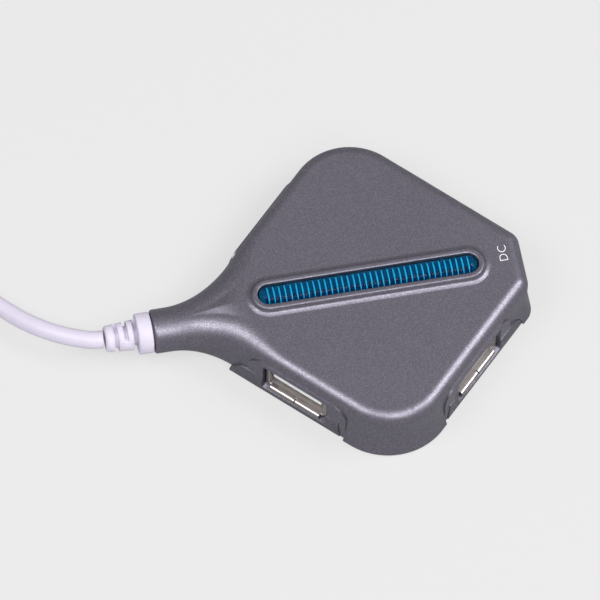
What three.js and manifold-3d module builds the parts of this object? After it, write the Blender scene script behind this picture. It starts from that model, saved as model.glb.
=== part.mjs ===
// A four-port USB 2.0 hub: a diamond-shaped two-piece case with a light bar on top,
// a socket on each slanted side, a DC inlet at one end and a captive cable at the other.
// Millimetres, +Z up, +X towards the DC inlet, the cable leaves towards -X.
import * as THREE from "three";
import { mergeVertices } from "three/addons/utils/BufferGeometryUtils.js";
import Module from "manifold-3d";

const wasm = await Module();
wasm.setup();

// ---- driving dimensions -------------------------------------------------------------

const GAP = 0.3; // running clearance between two pieces that meet
const QUARTER_TURN = Math.PI / 2;

// case
const SIDE = 25.7; // centre to a slanted side wall
const BODY_HEIGHT = 12.4; // underside of the case to its top plane
const CORNER_RADIUS = 12.1; // front and back corners, in plan
const DC_END = 30.7; // centre to the flat end with the DC inlet
const DC_CORNER_RADIUS = 3.2;
const TOP_ROUND = 2.6; // rounding of the top edge
const SKIRT_FLARE = 1; // the walls spread this far at the bottom
const SKIRT_HEIGHT = 6; // in a hollow curve that ends at this height
const WALL = 1.8;
const FLOOR = 1.5; // thickness of the bottom cover's plate

// neck
const NECK_END = -43.1;
const NECK_RADIUS = 4.35;
const NECK_HEIGHT = 5.5; // neck axis above the underside of the case
const NECK_WALL = 1.4;
const NECK_EDGE = 0.5;
const FLARE_RADIUS = 20; // hollow curve from the neck into the sides
const NECK_SPLIT = 2.5; // the covers part at this height on the neck
const NECK_SPLIT_END = -30;
const NECK_SPARE = 0.3; // the plan stands clear of the round horn that shapes the neck
const SIDE_START = 1.5; // and meets its straight side this far past the flare

// feet
const FOOT_PROUD = 0.5;
const FOOT_RADIUS = 2.6;
const FOOT_SUNK = 0.6; // depth of a foot's recess
const FOOT_X = 24.4; // centre to a foot, along the hub
const FOOT_Y = 25.6; // centre to a foot, across the hub

// socket faces
const FACE_PROUD = 0.35;
const FACE_HEIGHT = 9.7;
const FACE_NEAR = 10.8; // face's reach towards the neck or the inlet
const FACE_FAR = 12; // face's reach towards the rounded corner
const FACE_ROUND = 3.2;
const STEP_HEIGHT = 4.4; // the bottom cover rises this high beside a socket
const STEP_NEAR = 15;
const STEP_FAR = 10.4;
const STEP_NOTCH = 1.2;
const STEP_PROUD = 0.2; // the step stands this far out of the face

// sockets, USB series A receptacles
const SOCKET_WIDTH = 12.5;
const SOCKET_HEIGHT = 5.12;
const SHEET = 0.3;
const SOCKET_DEPTH = 14;
const SOCKET_FLOOR = 2.4; // inside floor of a socket above the underside of the case
const SOCKET_RECESS = 0.75; // socket's mouth behind the face
const LIP = 0.5; // how far the flared lips stand out
const MOUTH_CLEARANCE = 0.42; // case opening around the lips
const MOUTH_ROUND = 0.5;
const TONGUE_WIDTH = 11.1;
const TONGUE_THICK = 1.84;
const TONGUE_DROP = 0.72; // under the socket's inside ceiling
const TONGUE_RECESS = 0.4;
const TONGUE_BLOCK = 4.2; // depth of the moulded block at the back
const CONTACT_X = [-3.5, -1, 1, 3.5];
const CONTACT_WIDTH = 1;
const CONTACT_THICK = 0.25;
const CONTACT_SETBACK = 0.9; // from the tongue's front edge
const CONTACT_TAIL = 1.1; // reach behind the socket, and length of the foot
const SOCKETS = [
  { tag: "front_left", turn: 135, corner: -1 },
  { tag: "front_right", turn: 225, corner: 1 },
  { tag: "back_right", turn: -45, corner: -1 },
  { tag: "back_left", turn: 45, corner: 1 },
];

// circuit board
const BOARD_BOTTOM = 2.2;
const BOARD_THICK = 1.2;
const BOARD_MARGIN = 0.9; // board's edge to the inside of the wall
const BOARD_LEFT = -23.5;
const SCREW_Y = 19.3;
const SCREW_HEAD_RADIUS = 1.9;
const SCREW_HEAD_HEIGHT = 0.7;
const SCREW_RADIUS = 0.95;
const SCREW_LENGTH = 9;
const SCREW_SLOT = 0.45; // width of the cross recess
const SCREW_SLOT_REACH = 1.15; // half its length
const SCREW_SLOT_DEPTH = 0.4;
const POST_RADIUS = 2.4;
const CHIP_SIZE = 7;
const CHIP_HEIGHT = 1.4;
const CHIP_Y = -7;
const CRYSTAL_LENGTH = 10.2;
const CRYSTAL_WIDTH = 4.2;
const CRYSTAL_HEIGHT = 3.4;
const CRYSTAL_Y = 4.8;
const CAPACITOR_RADIUS = 2.5;
const CAPACITOR_HEIGHT = 4.6;
const CAPACITOR_X = 16;
const LED_X = [-13, 0, 10.5];
const LED_LENGTH = 2;
const LED_WIDTH = 1.25;
const LED_HEIGHT = 0.8;

// light bar
const LENS_CENTRE = -0.3;
const LENS_LENGTH = 43.4;
const LENS_RADIUS = 1.95;
const LENS_RISE = 1.5; // crown of the lens above its shoulder
const LENS_SINK = 0.35; // shoulder of the lens below the rim
const LENS_FLANGE = 1; // flange's reach under the case
const LENS_FLANGE_THICK = 1;
const RIM_WIDTH = 0.8;
const RIM_HEIGHT = 0.65;
const RIM_EDGE = 0.15;
const SWELL_WIDTH = 1.5; // low swelling around the rim
const SWELL_HEIGHT = 0.22;

// DC inlet
const JACK_WIDTH = 7;
const JACK_HEIGHT = 5.1;
const JACK_LENGTH = 8.2;
const JACK_COLLAR = 2.4;
const JACK_BORE = 1.85;
const JACK_BORE_DEPTH = 7;
const JACK_PIN = 0.65;
const JACK_PIN_BACK = 0.8; // pin's tip behind the collar's mouth

// strain relief and cable
const CABLE_RADIUS = 1.75;
const RELIEF_COLLAR_RADIUS = 4.05;
const RELIEF_COLLAR = 2.7;
const RELIEF_SLEEVE_RADIUS = 3.1; // where the sleeve leaves the collar
const RELIEF_END_RADIUS = 2.6;
const RELIEF_LENGTH = 9.1; // outside the case, collar included
const RELIEF_CORE = 2.0;
const RELIEF_SLOTS = [3.25, 5.1, 7]; // slot centres from the case, bridged on one side and the other by turns
const RELIEF_SLOT_WIDTH = 0.85;
const RELIEF_WEB = 1.7; // half height of the web that bridges a slot
const RELIEF_STEM = 6.4; // length inside the neck
const RELIEF_KEY = 1.3; // thickness of the flange that locks it in
const RELIEF_KEY_REACH = 0.75;
const WIRE_RADIUS = 0.4;
const WIRE_Y = [-1.65, -0.55, 0.55, 1.65];
const WIRE_SPREAD = 1.6; // how far the wires fan out
const WIRE_LAND = -20.5; // where the wires reach the board

// cable on the table: points chosen by hand, then a coil, then a short tail to the plug
const LEAD_POINTS = [
  [-52.9, 0, 6.1],
  [-54.8, 0.2, 6.1],
  [-57, 0.95, 6],
  [-60.3, 2.5, 5.7],
  [-63.9, 4.9, 5.1],
  [-67.5, 8.2, 4.2],
  [-71.2, 12.4, 3.3],
  [-75.1, 16.8, 2.6],
  [-79.4, 20.9, 2.2],
  [-84.1, 24.3, 2.2],
  [-88.9, 27, 2.3],
  [-94.1, 28.8, 2.5],
];
const COIL_CENTRE = [-108, 8];
const COIL_LIFT = 0.8; // the tie passes under the coil
const COIL_INNER = 17.75; // inner turns
const COIL_OUTER = 21.25; // outer turns
const COIL_EDGE = 1.2;
const TAIL_POINTS = [
  [-127.9, 23.5, 6.05],
  [-131.9, 22, 5.7],
  [-135.4, 19.5, 5.1],
  [-137.9, 16, 4.5],
  [-139.2, 12, 4.3],
];
const TIE_TURN = -60; // degrees around the coil
const TIE_WIDTH = 4;
const TIE_THICK = 0.5;

// plug, USB series A
const PLUG_PLACE = [-139.25, 11.7, 4.3];
const PLUG_TURN = 265; // degrees, the way the plug points
const GRIP_LENGTH = 25;
const GRIP_WIDTH = 15.6;
const GRIP_HEIGHT = 7.6;
const GRIP_EDGE = 1.2;
const GRIP_CORNER = 1.8;
const GRIP_TAPER = 8; // strain relief at the back of the grip
const GRIP_TAPER_RADIUS = 2.6;
const PLUG_WIDTH = 12;
const PLUG_HEIGHT = 4.5;
const PLUG_LENGTH = 18.7;
const PLUG_INSET = 2; // the shell's root inside the grip
const PLUG_CORE_HEIGHT = 1.7;
const PLUG_CONTACT_LENGTH = 8.5;
const PLUG_WINDOW = 2.5; // the two square holes the socket's springs catch
const PLUG_WINDOW_Y = 2.7;

// ---- derived places -----------------------------------------------------------------

const OUTSIDE = 80; // comfortably past the case in any direction
const ROOT2 = Math.SQRT2;
const FACE = SIDE + FACE_PROUD;
const STEP_FACE = FACE + STEP_PROUD;
const STEP_BACK = SIDE - WALL - 2 * GAP; // inner side of the bottom cover's steps
const MOUTH = FACE - SOCKET_RECESS;
const SOCKET_CENTRE = SOCKET_FLOOR + SOCKET_HEIGHT / 2;
const CEILING = BODY_HEIGHT - WALL;
const RIM_TOP = BODY_HEIGHT + RIM_HEIGHT;
const BOARD_TOP = BOARD_BOTTOM + BOARD_THICK;
const ON_BOARD = BOARD_TOP + GAP;
const FLARE_Y = NECK_RADIUS + FLARE_RADIUS;
const FLARE_X = FLARE_Y - ROOT2 * (SIDE + FLARE_RADIUS);
const JACK_FRONT = DC_END - WALL - GAP;
const JACK_CENTRE = ON_BOARD + JACK_HEIGHT / 2;
const RELIEF_OUTER = NECK_END - GAP;
const RELIEF_TIP = RELIEF_OUTER - RELIEF_LENGTH;
const STEM_RADIUS = NECK_RADIUS - NECK_WALL - GAP;
const KEY_START = NECK_END + RELIEF_STEM;
const CASE_CENTRE = (RELIEF_TIP + DC_END) / 2; // middle of the hub along X

// ---- helpers ------------------------------------------------------------------------

const rad = (degrees) => (degrees * Math.PI) / 180;

function solid(geometry) {
  const bare = geometry.clone();
  bare.deleteAttribute("normal");
  bare.deleteAttribute("uv");
  const merged = mergeVertices(bare, 1e-4);
  return new wasm.Manifold(
    new wasm.Mesh({
      numProp: 3,
      vertProperties: merged.attributes.position.array,
      triVerts: new Uint32Array(merged.index.array),
    }),
  );
}

function geometryOf(manifold) {
  const mesh = manifold.getMesh();
  return new THREE.BufferGeometry()
    .setAttribute("position", new THREE.BufferAttribute(mesh.vertProperties, 3))
    .setIndex(new THREE.BufferAttribute(mesh.triVerts, 1));
}

function unite(solids) {
  return solids.reduce((whole, next) => whole.add(next));
}

function cutAll(from, cutters) {
  return cutters.reduce((whole, next) => whole.subtract(next), from);
}

// A box given by its low and high corners.
function box([x0, y0, z0], [x1, y1, z1]) {
  const centre = [(x0 + x1) / 2, (y0 + y1) / 2, (z0 + z1) / 2];
  return new THREE.BoxGeometry(x1 - x0, y1 - y0, z1 - z0).translate(...centre);
}

// Points along an arc, both ends included; the angles are in degrees.
function arc(x, y, radius, from, to, pieces) {
  return Array.from({ length: pieces + 1 }, (_, i) => {
    const angle = rad(from + ((to - from) * i) / pieces);
    return [x + radius * Math.cos(angle), y + radius * Math.sin(angle)];
  });
}

function outline(points) {
  return new THREE.Shape(points.map((p) => new THREE.Vector2(...p)));
}

// A prism of a plan shape between two heights.
function prism(shape, bottom, top) {
  const options = { depth: top - bottom, bevelEnabled: false };
  return new THREE.ExtrudeGeometry(shape, options).translate(0, 0, bottom);
}

// A prism whose top edge is rounded over by a quarter circle.
function roundedPrism(shape, bottom, top, round, segments) {
  const options = {
    depth: top - bottom,
    bevelThickness: round,
    bevelSize: round,
    bevelOffset: -round,
    bevelSegments: segments,
  };
  const tall = new THREE.ExtrudeGeometry(shape, options).translate(0, 0, bottom - round);
  const keep = box([-OUTSIDE, -OUTSIDE, bottom], [OUTSIDE, OUTSIDE, OUTSIDE]);
  return solid(tall).intersect(solid(keep));
}

// A solid of revolution about +Z, from [radius, height] pairs.
function turned(profile, segments = 24) {
  return new THREE.LatheGeometry(profile.map((p) => new THREE.Vector2(...p)), segments).rotateX(
    QUARTER_TURN,
  );
}

// A round disc or column about +Z between two heights.
function disc(radius, bottom, top) {
  return turned([
    [0, bottom],
    [radius, bottom],
    [radius, top],
    [0, top],
  ]);
}

// A solid of revolution about a line along X at a height, from [x, radius] pairs.
function turnedAlongX(profile, height, segments = 32) {
  const points = profile.map(([x, radius]) => new THREE.Vector2(radius, x));
  return new THREE.LatheGeometry(points, segments).rotateZ(-QUARTER_TURN).translate(0, 0, height);
}

// A round bar along X between two ends.
function alongX(radius, from, to, height) {
  const profile = [
    [from, 0],
    [from, radius],
    [to, radius],
    [to, 0],
  ];
  return solid(turnedAlongX(profile, height, 24));
}

function roundedRectangle(width, height, radius, pieces = 3) {
  const x = width / 2 - radius;
  const y = height / 2 - radius;
  return outline([
    ...arc(x, -y, radius, -90, 0, pieces),
    ...arc(x, y, radius, 0, 90, pieces),
    ...arc(-x, y, radius, 90, 180, pieces),
    ...arc(-x, -y, radius, 180, 270, pieces),
  ]);
}

// The plan of the light bar: a slot with round ends, centred on the bar.
function slot(length, radius) {
  const x = length / 2 - radius;
  const pieces = 14;
  return outline([
    ...arc(LENS_CENTRE + x, 0, radius, -90, 90, pieces),
    ...arc(LENS_CENTRE - x, 0, radius, 90, 270, pieces),
  ]);
}

// Turns geometry from a socket's own frame, +Y outwards and +X along the side, into the case's.
function atSocket(geometry, socket) {
  return geometry.rotateZ(rad(socket.turn));
}

// Raises a side outline drawn as (along, height) into an upright prism between two distances.
function sidePrism(shape, inner, outer, socket) {
  const geometry = new THREE.ExtrudeGeometry(shape, {
    depth: outer - inner,
    bevelEnabled: false,
  });
  geometry.rotateX(QUARTER_TURN).translate(0, outer, 0);
  return solid(atSocket(geometry, socket));
}

const root = new THREE.Group();
const hub = new THREE.Group(); // the case's centre is the group's own origin
hub.position.set(-CASE_CENTRE, 0, FOOT_PROUD);
root.add(hub);

function place(name, geometry, colour, roughness, metalness, parent = hub) {
  const material = new THREE.MeshStandardMaterial({ color: colour, roughness, metalness });
  const mesh = new THREE.Mesh(geometry, material);
  mesh.name = name;
  parent.add(mesh);
  return mesh;
}

// ---- case ---------------------------------------------------------------------------

// Points of the case's plan, drawn `inset` inside its outer wall.
function casePoints(inset) {
  const corner = ROOT2 * (SIDE - CORNER_RADIUS);
  const round = CORNER_RADIUS - inset;
  const end = DC_END - inset;
  const dcRound = Math.max(DC_CORNER_RADIUS - inset, GAP);
  const dcX = end - dcRound;
  const dcY = ROOT2 * (SIDE - inset - dcRound) - dcX;
  const neck = NECK_RADIUS - inset + NECK_SPARE;
  const flare = FLARE_RADIUS + inset;
  const sideX = FLARE_X + (flare + SIDE_START) / ROOT2;
  const sideY = FLARE_Y - (flare - SIDE_START) / ROOT2;
  return [
    [NECK_END, -neck],
    ...arc(FLARE_X, -FLARE_Y, flare - NECK_SPARE, 90, 45, 8),
    [sideX, -sideY],
    ...arc(0, -corner, round, -135, -45, 14),
    ...arc(dcX, -dcY, dcRound, -45, 0, 4),
    ...arc(dcX, dcY, dcRound, 0, 45, 4),
    ...arc(0, corner, round, 45, 135, 14),
    [sideX, sideY],
    ...arc(FLARE_X, FLARE_Y, flare - NECK_SPARE, -45, -90, 8),
    [NECK_END, neck],
  ];
}

function casePlan(inset) {
  return outline(casePoints(inset));
}

// The outer body, skinned over levels of the plan: a flared skirt, then an upright wall, then
// the rounded top edge.
function caseBody() {
  const levels = [];
  const steps = 6;
  for (let i = 0; i <= steps; i++) {
    const up = i / steps;
    levels.push([SKIRT_HEIGHT * up, -SKIRT_FLARE * (1 - up) ** 2]);
  }
  for (let i = 0; i <= steps; i++) {
    const angle = (i / steps) * QUARTER_TURN;
    const height = BODY_HEIGHT - TOP_ROUND * (1 - Math.sin(angle));
    levels.push([height, TOP_ROUND * (1 - Math.cos(angle))]);
  }
  const rings = levels.map(([height, inset]) => casePoints(inset).map(([x, y]) => [x, y, height]));
  const around = rings[0].length;
  const index = [];
  for (let ring = 0; ring < rings.length - 1; ring++) {
    for (let i = 0; i < around; i++) {
      const a = ring * around + i;
      const b = ring * around + ((i + 1) % around);
      index.push(a, b, b + around, a, b + around, a + around);
    }
  }
  const lid = (ring) => {
    const contour = rings[ring].map(([x, y]) => new THREE.Vector2(x, y));
    return THREE.ShapeUtils.triangulateShape(contour, []);
  };
  const last = rings.length - 1;
  for (const [a, b, c] of lid(0)) index.push(a, c, b);
  for (const face of lid(last)) index.push(...face.map((i) => i + last * around));
  return new THREE.BufferGeometry()
    .setAttribute("position", new THREE.Float32BufferAttribute(rings.flat(2), 3))
    .setIndex(index);
}

// The trumpet that turns the square-shouldered case into a round neck.
function horn(inset, start) {
  const radius = NECK_RADIUS - inset;
  const flare = FLARE_RADIUS + inset;
  const edge = Math.max(NECK_EDGE - inset, 0);
  const steps = 12;
  const profile = [[start, 0]];
  if (edge > 0) profile.push([start, radius - edge]);
  profile.push([start + edge, radius]);
  for (let i = 0; i <= steps; i++) {
    const angle = (i / steps) * QUARTER_TURN;
    profile.push([FLARE_X + flare * Math.sin(angle), FLARE_Y - flare * Math.cos(angle)]);
  }
  profile.push([FLARE_X + flare, OUTSIDE]);
  profile.push([OUTSIDE, OUTSIDE]);
  profile.push([OUTSIDE, 0]);
  return solid(turnedAlongX(profile, NECK_HEIGHT, 40));
}

// The flat face that frames a socket, as (along, height); +along is towards the rounded corner.
// It can reach a little below the case's underside, to cut clean through it.
function faceOutline(corner, below = 0) {
  const high = FACE_HEIGHT - FACE_ROUND;
  const points = [
    [-FACE_NEAR, -below],
    [FACE_FAR, -below],
    ...arc(FACE_FAR - FACE_ROUND, high, FACE_ROUND, 0, 90, 6),
    ...arc(-FACE_NEAR + FACE_ROUND, high, FACE_ROUND, 90, 180, 6),
  ];
  return outline(points.map(([x, z]) => [x * corner, z]));
}

// The bottom cover's step beside a socket, grown by a clearance for the top cover's cut.
function stepOutline(corner, grow) {
  const high = STEP_HEIGHT + grow;
  const near = STEP_NEAR + grow;
  const far = STEP_FAR + grow;
  const points = [
    [far + STEP_NOTCH / 2, -GAP],
    [far, high - STEP_NOTCH],
    [far, high],
    ...arc(high - near, 0, high, 90, 180, 6), // the near end curves up as a quarter circle
    [-near, -GAP],
  ];
  return outline(points.map(([x, z]) => [x * corner, z]));
}

function socketMouth(socket) {
  const width = SOCKET_WIDTH + 2 * (SHEET + LIP + MOUTH_CLEARANCE);
  const height = SOCKET_HEIGHT + 2 * (SHEET + LIP + MOUTH_CLEARANCE);
  const shape = roundedRectangle(width, height, MOUTH_ROUND);
  const geometry = new THREE.ExtrudeGeometry(shape, {
    depth: STEP_FACE - SIDE + 2 * WALL + 2 * GAP,
    bevelEnabled: false,
  });
  geometry.rotateX(QUARTER_TURN).translate(0, STEP_FACE + GAP, SOCKET_CENTRE);
  return solid(atSocket(geometry, socket));
}

const faces = SOCKETS.map((s) => sidePrism(faceOutline(s.corner), SIDE - WALL, FACE, s));
const steps = SOCKETS.map((s) => sidePrism(stepOutline(s.corner, 0), STEP_BACK, STEP_FACE, s));
const mouths = SOCKETS.map(socketMouth);

// The flared skirt stops at each flat face and at the step beside it.
const skirtCuts = SOCKETS.flatMap((s) => [
  sidePrism(faceOutline(s.corner, GAP), FACE, FACE + SKIRT_FLARE, s),
  sidePrism(stepOutline(s.corner, GAP), FACE, FACE + SKIRT_FLARE, s),
]);
const shellOfCase = cutAll(solid(caseBody()).intersect(horn(0, NECK_END)), skirtCuts);
const aboveFloor = solid(box([-OUTSIDE, -OUTSIDE, 0], [OUTSIDE, OUTSIDE, OUTSIDE]));

// The room inside the neck: a bore for the strain relief, then a wider seat for its flange.
const neckRoom = solid(
  turnedAlongX(
    [
      [NECK_END - GAP, 0],
      [NECK_END - GAP, STEM_RADIUS + GAP],
      [KEY_START, STEM_RADIUS + GAP],
      [KEY_START, STEM_RADIUS + RELIEF_KEY_REACH + GAP],
      [KEY_START + RELIEF_KEY + 2 * GAP, STEM_RADIUS + RELIEF_KEY_REACH + GAP],
      [KEY_START + RELIEF_KEY + 2 * GAP, 0],
    ],
    NECK_HEIGHT,
  ),
);

const cavity = solid(prism(casePlan(WALL), -OUTSIDE, CEILING))
  .intersect(horn(NECK_WALL, NECK_END))
  .intersect(solid(box([KEY_START + GAP, -OUTSIDE, -OUTSIDE], [OUTSIDE, OUTSIDE, OUTSIDE])));

const jackHole = alongX(JACK_COLLAR + GAP, JACK_FRONT - GAP, DC_END + GAP, JACK_CENTRE);

function post(y) {
  const bottom = ON_BOARD;
  const pilot = SCREW_RADIUS + GAP;
  const column = solid(disc(POST_RADIUS, bottom, CEILING + GAP)); // its top is inside the cover
  const hole = solid(disc(pilot, bottom - GAP, SCREW_LENGTH + GAP));
  return { column: column.translate([0, y, 0]), hole: hole.translate([0, y, 0]) };
}

function topCover() {
  const rimLength = LENS_LENGTH + 2 * (GAP + RIM_WIDTH);
  const rimRadius = LENS_RADIUS + GAP + RIM_WIDTH;
  const rim = roundedPrism(slot(rimLength, rimRadius), CEILING + GAP, RIM_TOP, RIM_EDGE, 1);
  const swellPlan = slot(rimLength + 2 * SWELL_WIDTH, rimRadius + SWELL_WIDTH);
  const swellTop = BODY_HEIGHT + SWELL_HEIGHT;
  const swell = roundedPrism(swellPlan, CEILING + GAP, swellTop, SWELL_HEIGHT, 1);
  const window = solid(prism(slot(LENS_LENGTH + 2 * GAP, LENS_RADIUS + GAP), 0, OUTSIDE));
  const posts = [post(SCREW_Y), post(-SCREW_Y)];
  const hollow = unite([shellOfCase, ...faces]).subtract(cavity);
  const whole = unite([hollow, rim, swell, ...posts.map((p) => p.column)]);
  const belowSplit = solid(
    box([-OUTSIDE, -OUTSIDE, -OUTSIDE], [NECK_SPLIT_END + GAP, OUTSIDE, NECK_SPLIT + GAP]),
  );
  const stepCuts = SOCKETS.map((s) =>
    sidePrism(stepOutline(s.corner, GAP), STEP_BACK - GAP, STEP_FACE + GAP, s),
  );
  return cutAll(whole, [
    window,
    neckRoom,
    jackHole,
    belowSplit,
    ...stepCuts,
    ...mouths,
    ...posts.map((p) => p.hole),
  ]);
}

function footPlaces() {
  return [
    [FOOT_X, 0],
    [0, FOOT_Y],
    [-FOOT_X, 0],
    [0, -FOOT_Y],
  ];
}

function bottomCover() {
  const inset = WALL + GAP;
  const plate = solid(prism(casePlan(inset), 0, FLOOR)).intersect(
    horn(NECK_WALL + GAP, NECK_END),
  );
  const plateEnd = solid(box([NECK_SPLIT_END - WALL, -OUTSIDE, 0], [OUTSIDE, OUTSIDE, FLOOR]));
  const underNeck = shellOfCase.intersect(
    solid(box([NECK_END, -OUTSIDE, -GAP], [NECK_SPLIT_END, OUTSIDE, NECK_SPLIT])),
  );
  const padTop = BOARD_BOTTOM - GAP;
  const pad = solid(disc(POST_RADIUS, 0, padTop));
  const pads = [SCREW_Y, -SCREW_Y].map((y) => pad.translate([0, y, 0]));
  const headRadius = SCREW_HEAD_RADIUS + GAP;
  const headTop = SCREW_HEAD_HEIGHT + GAP;
  const shaft = SCREW_RADIUS + GAP;
  const screwHole = solid(disc(headRadius, -GAP, headTop)).add(solid(disc(shaft, 0, OUTSIDE)));
  const footHole = solid(disc(FOOT_RADIUS + GAP, -GAP, FOOT_SUNK));
  const whole = unite([plate.intersect(plateEnd), underNeck, ...pads, ...steps]);
  return cutAll(whole, [
    neckRoom,
    ...mouths,
    ...[SCREW_Y, -SCREW_Y].map((y) => screwHole.translate([0, y, 0])),
    ...footPlaces().map(([x, y]) => footHole.translate([x, y, 0])),
  ]).intersect(aboveFloor);
}

place("top_cover", geometryOf(topCover()), 0x6a6670, 0.42, 0.55);
place("bottom_cover", geometryOf(bottomCover()), 0x625f6a, 0.5, 0.4);

// ---- light bar ----------------------------------------------------------------------

function lightLens() {
  const shoulder = RIM_TOP - LENS_SINK;
  const dome = new THREE.CapsuleGeometry(LENS_RADIUS, LENS_LENGTH - 2 * LENS_RADIUS, 6, 24)
    .rotateZ(QUARTER_TURN)
    .scale(1, 1, LENS_RISE / LENS_RADIUS)
    .translate(LENS_CENTRE, 0, shoulder);
  const flangeTop = CEILING - GAP;
  const stem = solid(prism(slot(LENS_LENGTH, LENS_RADIUS), flangeTop - LENS_FLANGE_THICK, shoulder));
  const flangePlan = slot(LENS_LENGTH + 2 * LENS_FLANGE, LENS_RADIUS + LENS_FLANGE);
  const flange = solid(prism(flangePlan, flangeTop - LENS_FLANGE_THICK, flangeTop));
  return unite([stem, flange, solid(dome)]);
}

place("light_lens", geometryOf(lightLens()), 0x123f7a, 0.08, 0);

// ---- circuit board ------------------------------------------------------------------

function circuitBoard() {
  const plan = casePlan(WALL + BOARD_MARGIN);
  const plate = solid(prism(plan, BOARD_BOTTOM, BOARD_TOP)).intersect(
    solid(box([BOARD_LEFT, -OUTSIDE, 0], [OUTSIDE, OUTSIDE, OUTSIDE])),
  );
  const half = SOCKET_WIDTH / 2 + SHEET + GAP;
  const back = MOUTH - SOCKET_DEPTH - GAP;
  const notches = SOCKETS.map((s) =>
    solid(atSocket(box([-half, back, 0], [half, OUTSIDE, BODY_HEIGHT]), s)),
  );
  const hole = SCREW_RADIUS + GAP;
  const drill = solid(disc(hole, 0, BODY_HEIGHT));
  return cutAll(plate, [
    ...notches,
    drill.translate([0, SCREW_Y, 0]),
    drill.translate([0, -SCREW_Y, 0]),
  ]);
}

place("circuit_board", geometryOf(circuitBoard()), 0x1d5b34, 0.5, 0);

const halfChip = CHIP_SIZE / 2;
const chip = box([-halfChip, -halfChip, ON_BOARD], [halfChip, halfChip, ON_BOARD + CHIP_HEIGHT]);
place("hub_chip", chip.translate(0, CHIP_Y, 0), 0x1c1c1e, 0.6, 0);

const crystalPlan = roundedRectangle(CRYSTAL_LENGTH, CRYSTAL_WIDTH, CRYSTAL_WIDTH / 2 - GAP);
place(
  "crystal",
  prism(crystalPlan, ON_BOARD, ON_BOARD + CRYSTAL_HEIGHT).translate(0, CRYSTAL_Y, 0),
  0xb9bcc0,
  0.3,
  1,
);

const canTop = ON_BOARD + CAPACITOR_HEIGHT;
place(
  "capacitor",
  disc(CAPACITOR_RADIUS, ON_BOARD, canTop).translate(CAPACITOR_X, 0, 0),
  0x9fa3a8,
  0.35,
  0.9,
);

LED_X.forEach((x, i) => {
  const low = [x - LED_LENGTH / 2, -LED_WIDTH / 2, ON_BOARD];
  const high = [x + LED_LENGTH / 2, LED_WIDTH / 2, ON_BOARD + LED_HEIGHT];
  place("led_" + (i + 1), box(low, high), 0xe8f0ff, 0.3, 0);
});

// ---- sockets ------------------------------------------------------------------------

// Socket pieces are drawn in the socket's own frame: +Y outwards, +X along the side.
function socketShell() {
  const width = SOCKET_WIDTH / 2 + SHEET;
  const height = SOCKET_HEIGHT / 2 + SHEET;
  const tube = solid(box([-width, -SOCKET_DEPTH, -height], [width, 0, height]));
  const sideLip = solid(box([-width - LIP, -SHEET, -height + LIP], [width + LIP, 0, height - LIP]));
  const floorLip = solid(box([-width + LIP, -SHEET, -height - LIP], [width - LIP, 0, height + LIP]));
  const inside = solid(
    box(
      [-SOCKET_WIDTH / 2, -SOCKET_DEPTH - GAP, -SOCKET_HEIGHT / 2],
      [SOCKET_WIDTH / 2, GAP, SOCKET_HEIGHT / 2],
    ),
  );
  return unite([tube, sideLip, floorLip]).subtract(inside);
}

function socketTongue() {
  const ceiling = SOCKET_HEIGHT / 2;
  const top = ceiling - TONGUE_DROP;
  const bottom = top - TONGUE_THICK;
  const half = TONGUE_WIDTH / 2;
  const backHalf = SOCKET_WIDTH / 2 - GAP;
  const back = -SOCKET_DEPTH + GAP;
  const tongue = solid(box([-half, back, bottom], [half, -TONGUE_RECESS, top]));
  const blockFront = back + TONGUE_BLOCK;
  const block = solid(box([-backHalf, back, -ceiling + GAP], [backHalf, blockFront, ceiling - GAP]));
  const side = CONTACT_WIDTH / 2 + GAP;
  const slots = CONTACT_X.map((x) =>
    solid(box([x - side, back - GAP, -ceiling], [x + side, blockFront + GAP, bottom])),
  );
  return cutAll(tongue.add(block), slots);
}

// One spring contact: a strip under the tongue that steps down to the board behind the socket.
function socketContact(x) {
  const bottom = SOCKET_HEIGHT / 2 - TONGUE_DROP - TONGUE_THICK;
  const high = bottom - GAP;
  const foot = ON_BOARD - SOCKET_CENTRE;
  const front = -TONGUE_RECESS - CONTACT_SETBACK;
  const back = -SOCKET_DEPTH - CONTACT_TAIL;
  const shape = new THREE.Shape();
  shape.moveTo(front, high);
  shape.lineTo(back, high);
  shape.lineTo(back, foot + CONTACT_THICK);
  shape.lineTo(back - CONTACT_TAIL, foot + CONTACT_THICK);
  shape.lineTo(back - CONTACT_TAIL, foot);
  shape.lineTo(back + CONTACT_THICK, foot);
  shape.lineTo(back + CONTACT_THICK, high - CONTACT_THICK);
  shape.lineTo(front, high - CONTACT_THICK);
  shape.closePath();
  const options = { depth: CONTACT_WIDTH, bevelEnabled: false };
  return new THREE.ExtrudeGeometry(shape, options)
    .rotateX(QUARTER_TURN)
    .rotateZ(QUARTER_TURN)
    .translate(x - CONTACT_WIDTH / 2, 0, 0);
}

for (const socket of SOCKETS) {
  const group = new THREE.Group();
  group.rotation.z = rad(socket.turn);
  const inner = new THREE.Group();
  inner.position.set(0, MOUTH, SOCKET_CENTRE);
  group.add(inner);
  hub.add(group);
  place("socket_shell_" + socket.tag, geometryOf(socketShell()), 0xc9c4bb, 0.25, 1, inner);
  place("socket_tongue_" + socket.tag, geometryOf(socketTongue()), 0xf1f1ee, 0.45, 0, inner);
  CONTACT_X.forEach((x, i) => {
    place(`socket_contact_${socket.tag}_${i + 1}`, socketContact(x), 0xd8b45c, 0.3, 1, inner);
  });
}

// ---- DC inlet -----------------------------------------------------------------------

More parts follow.
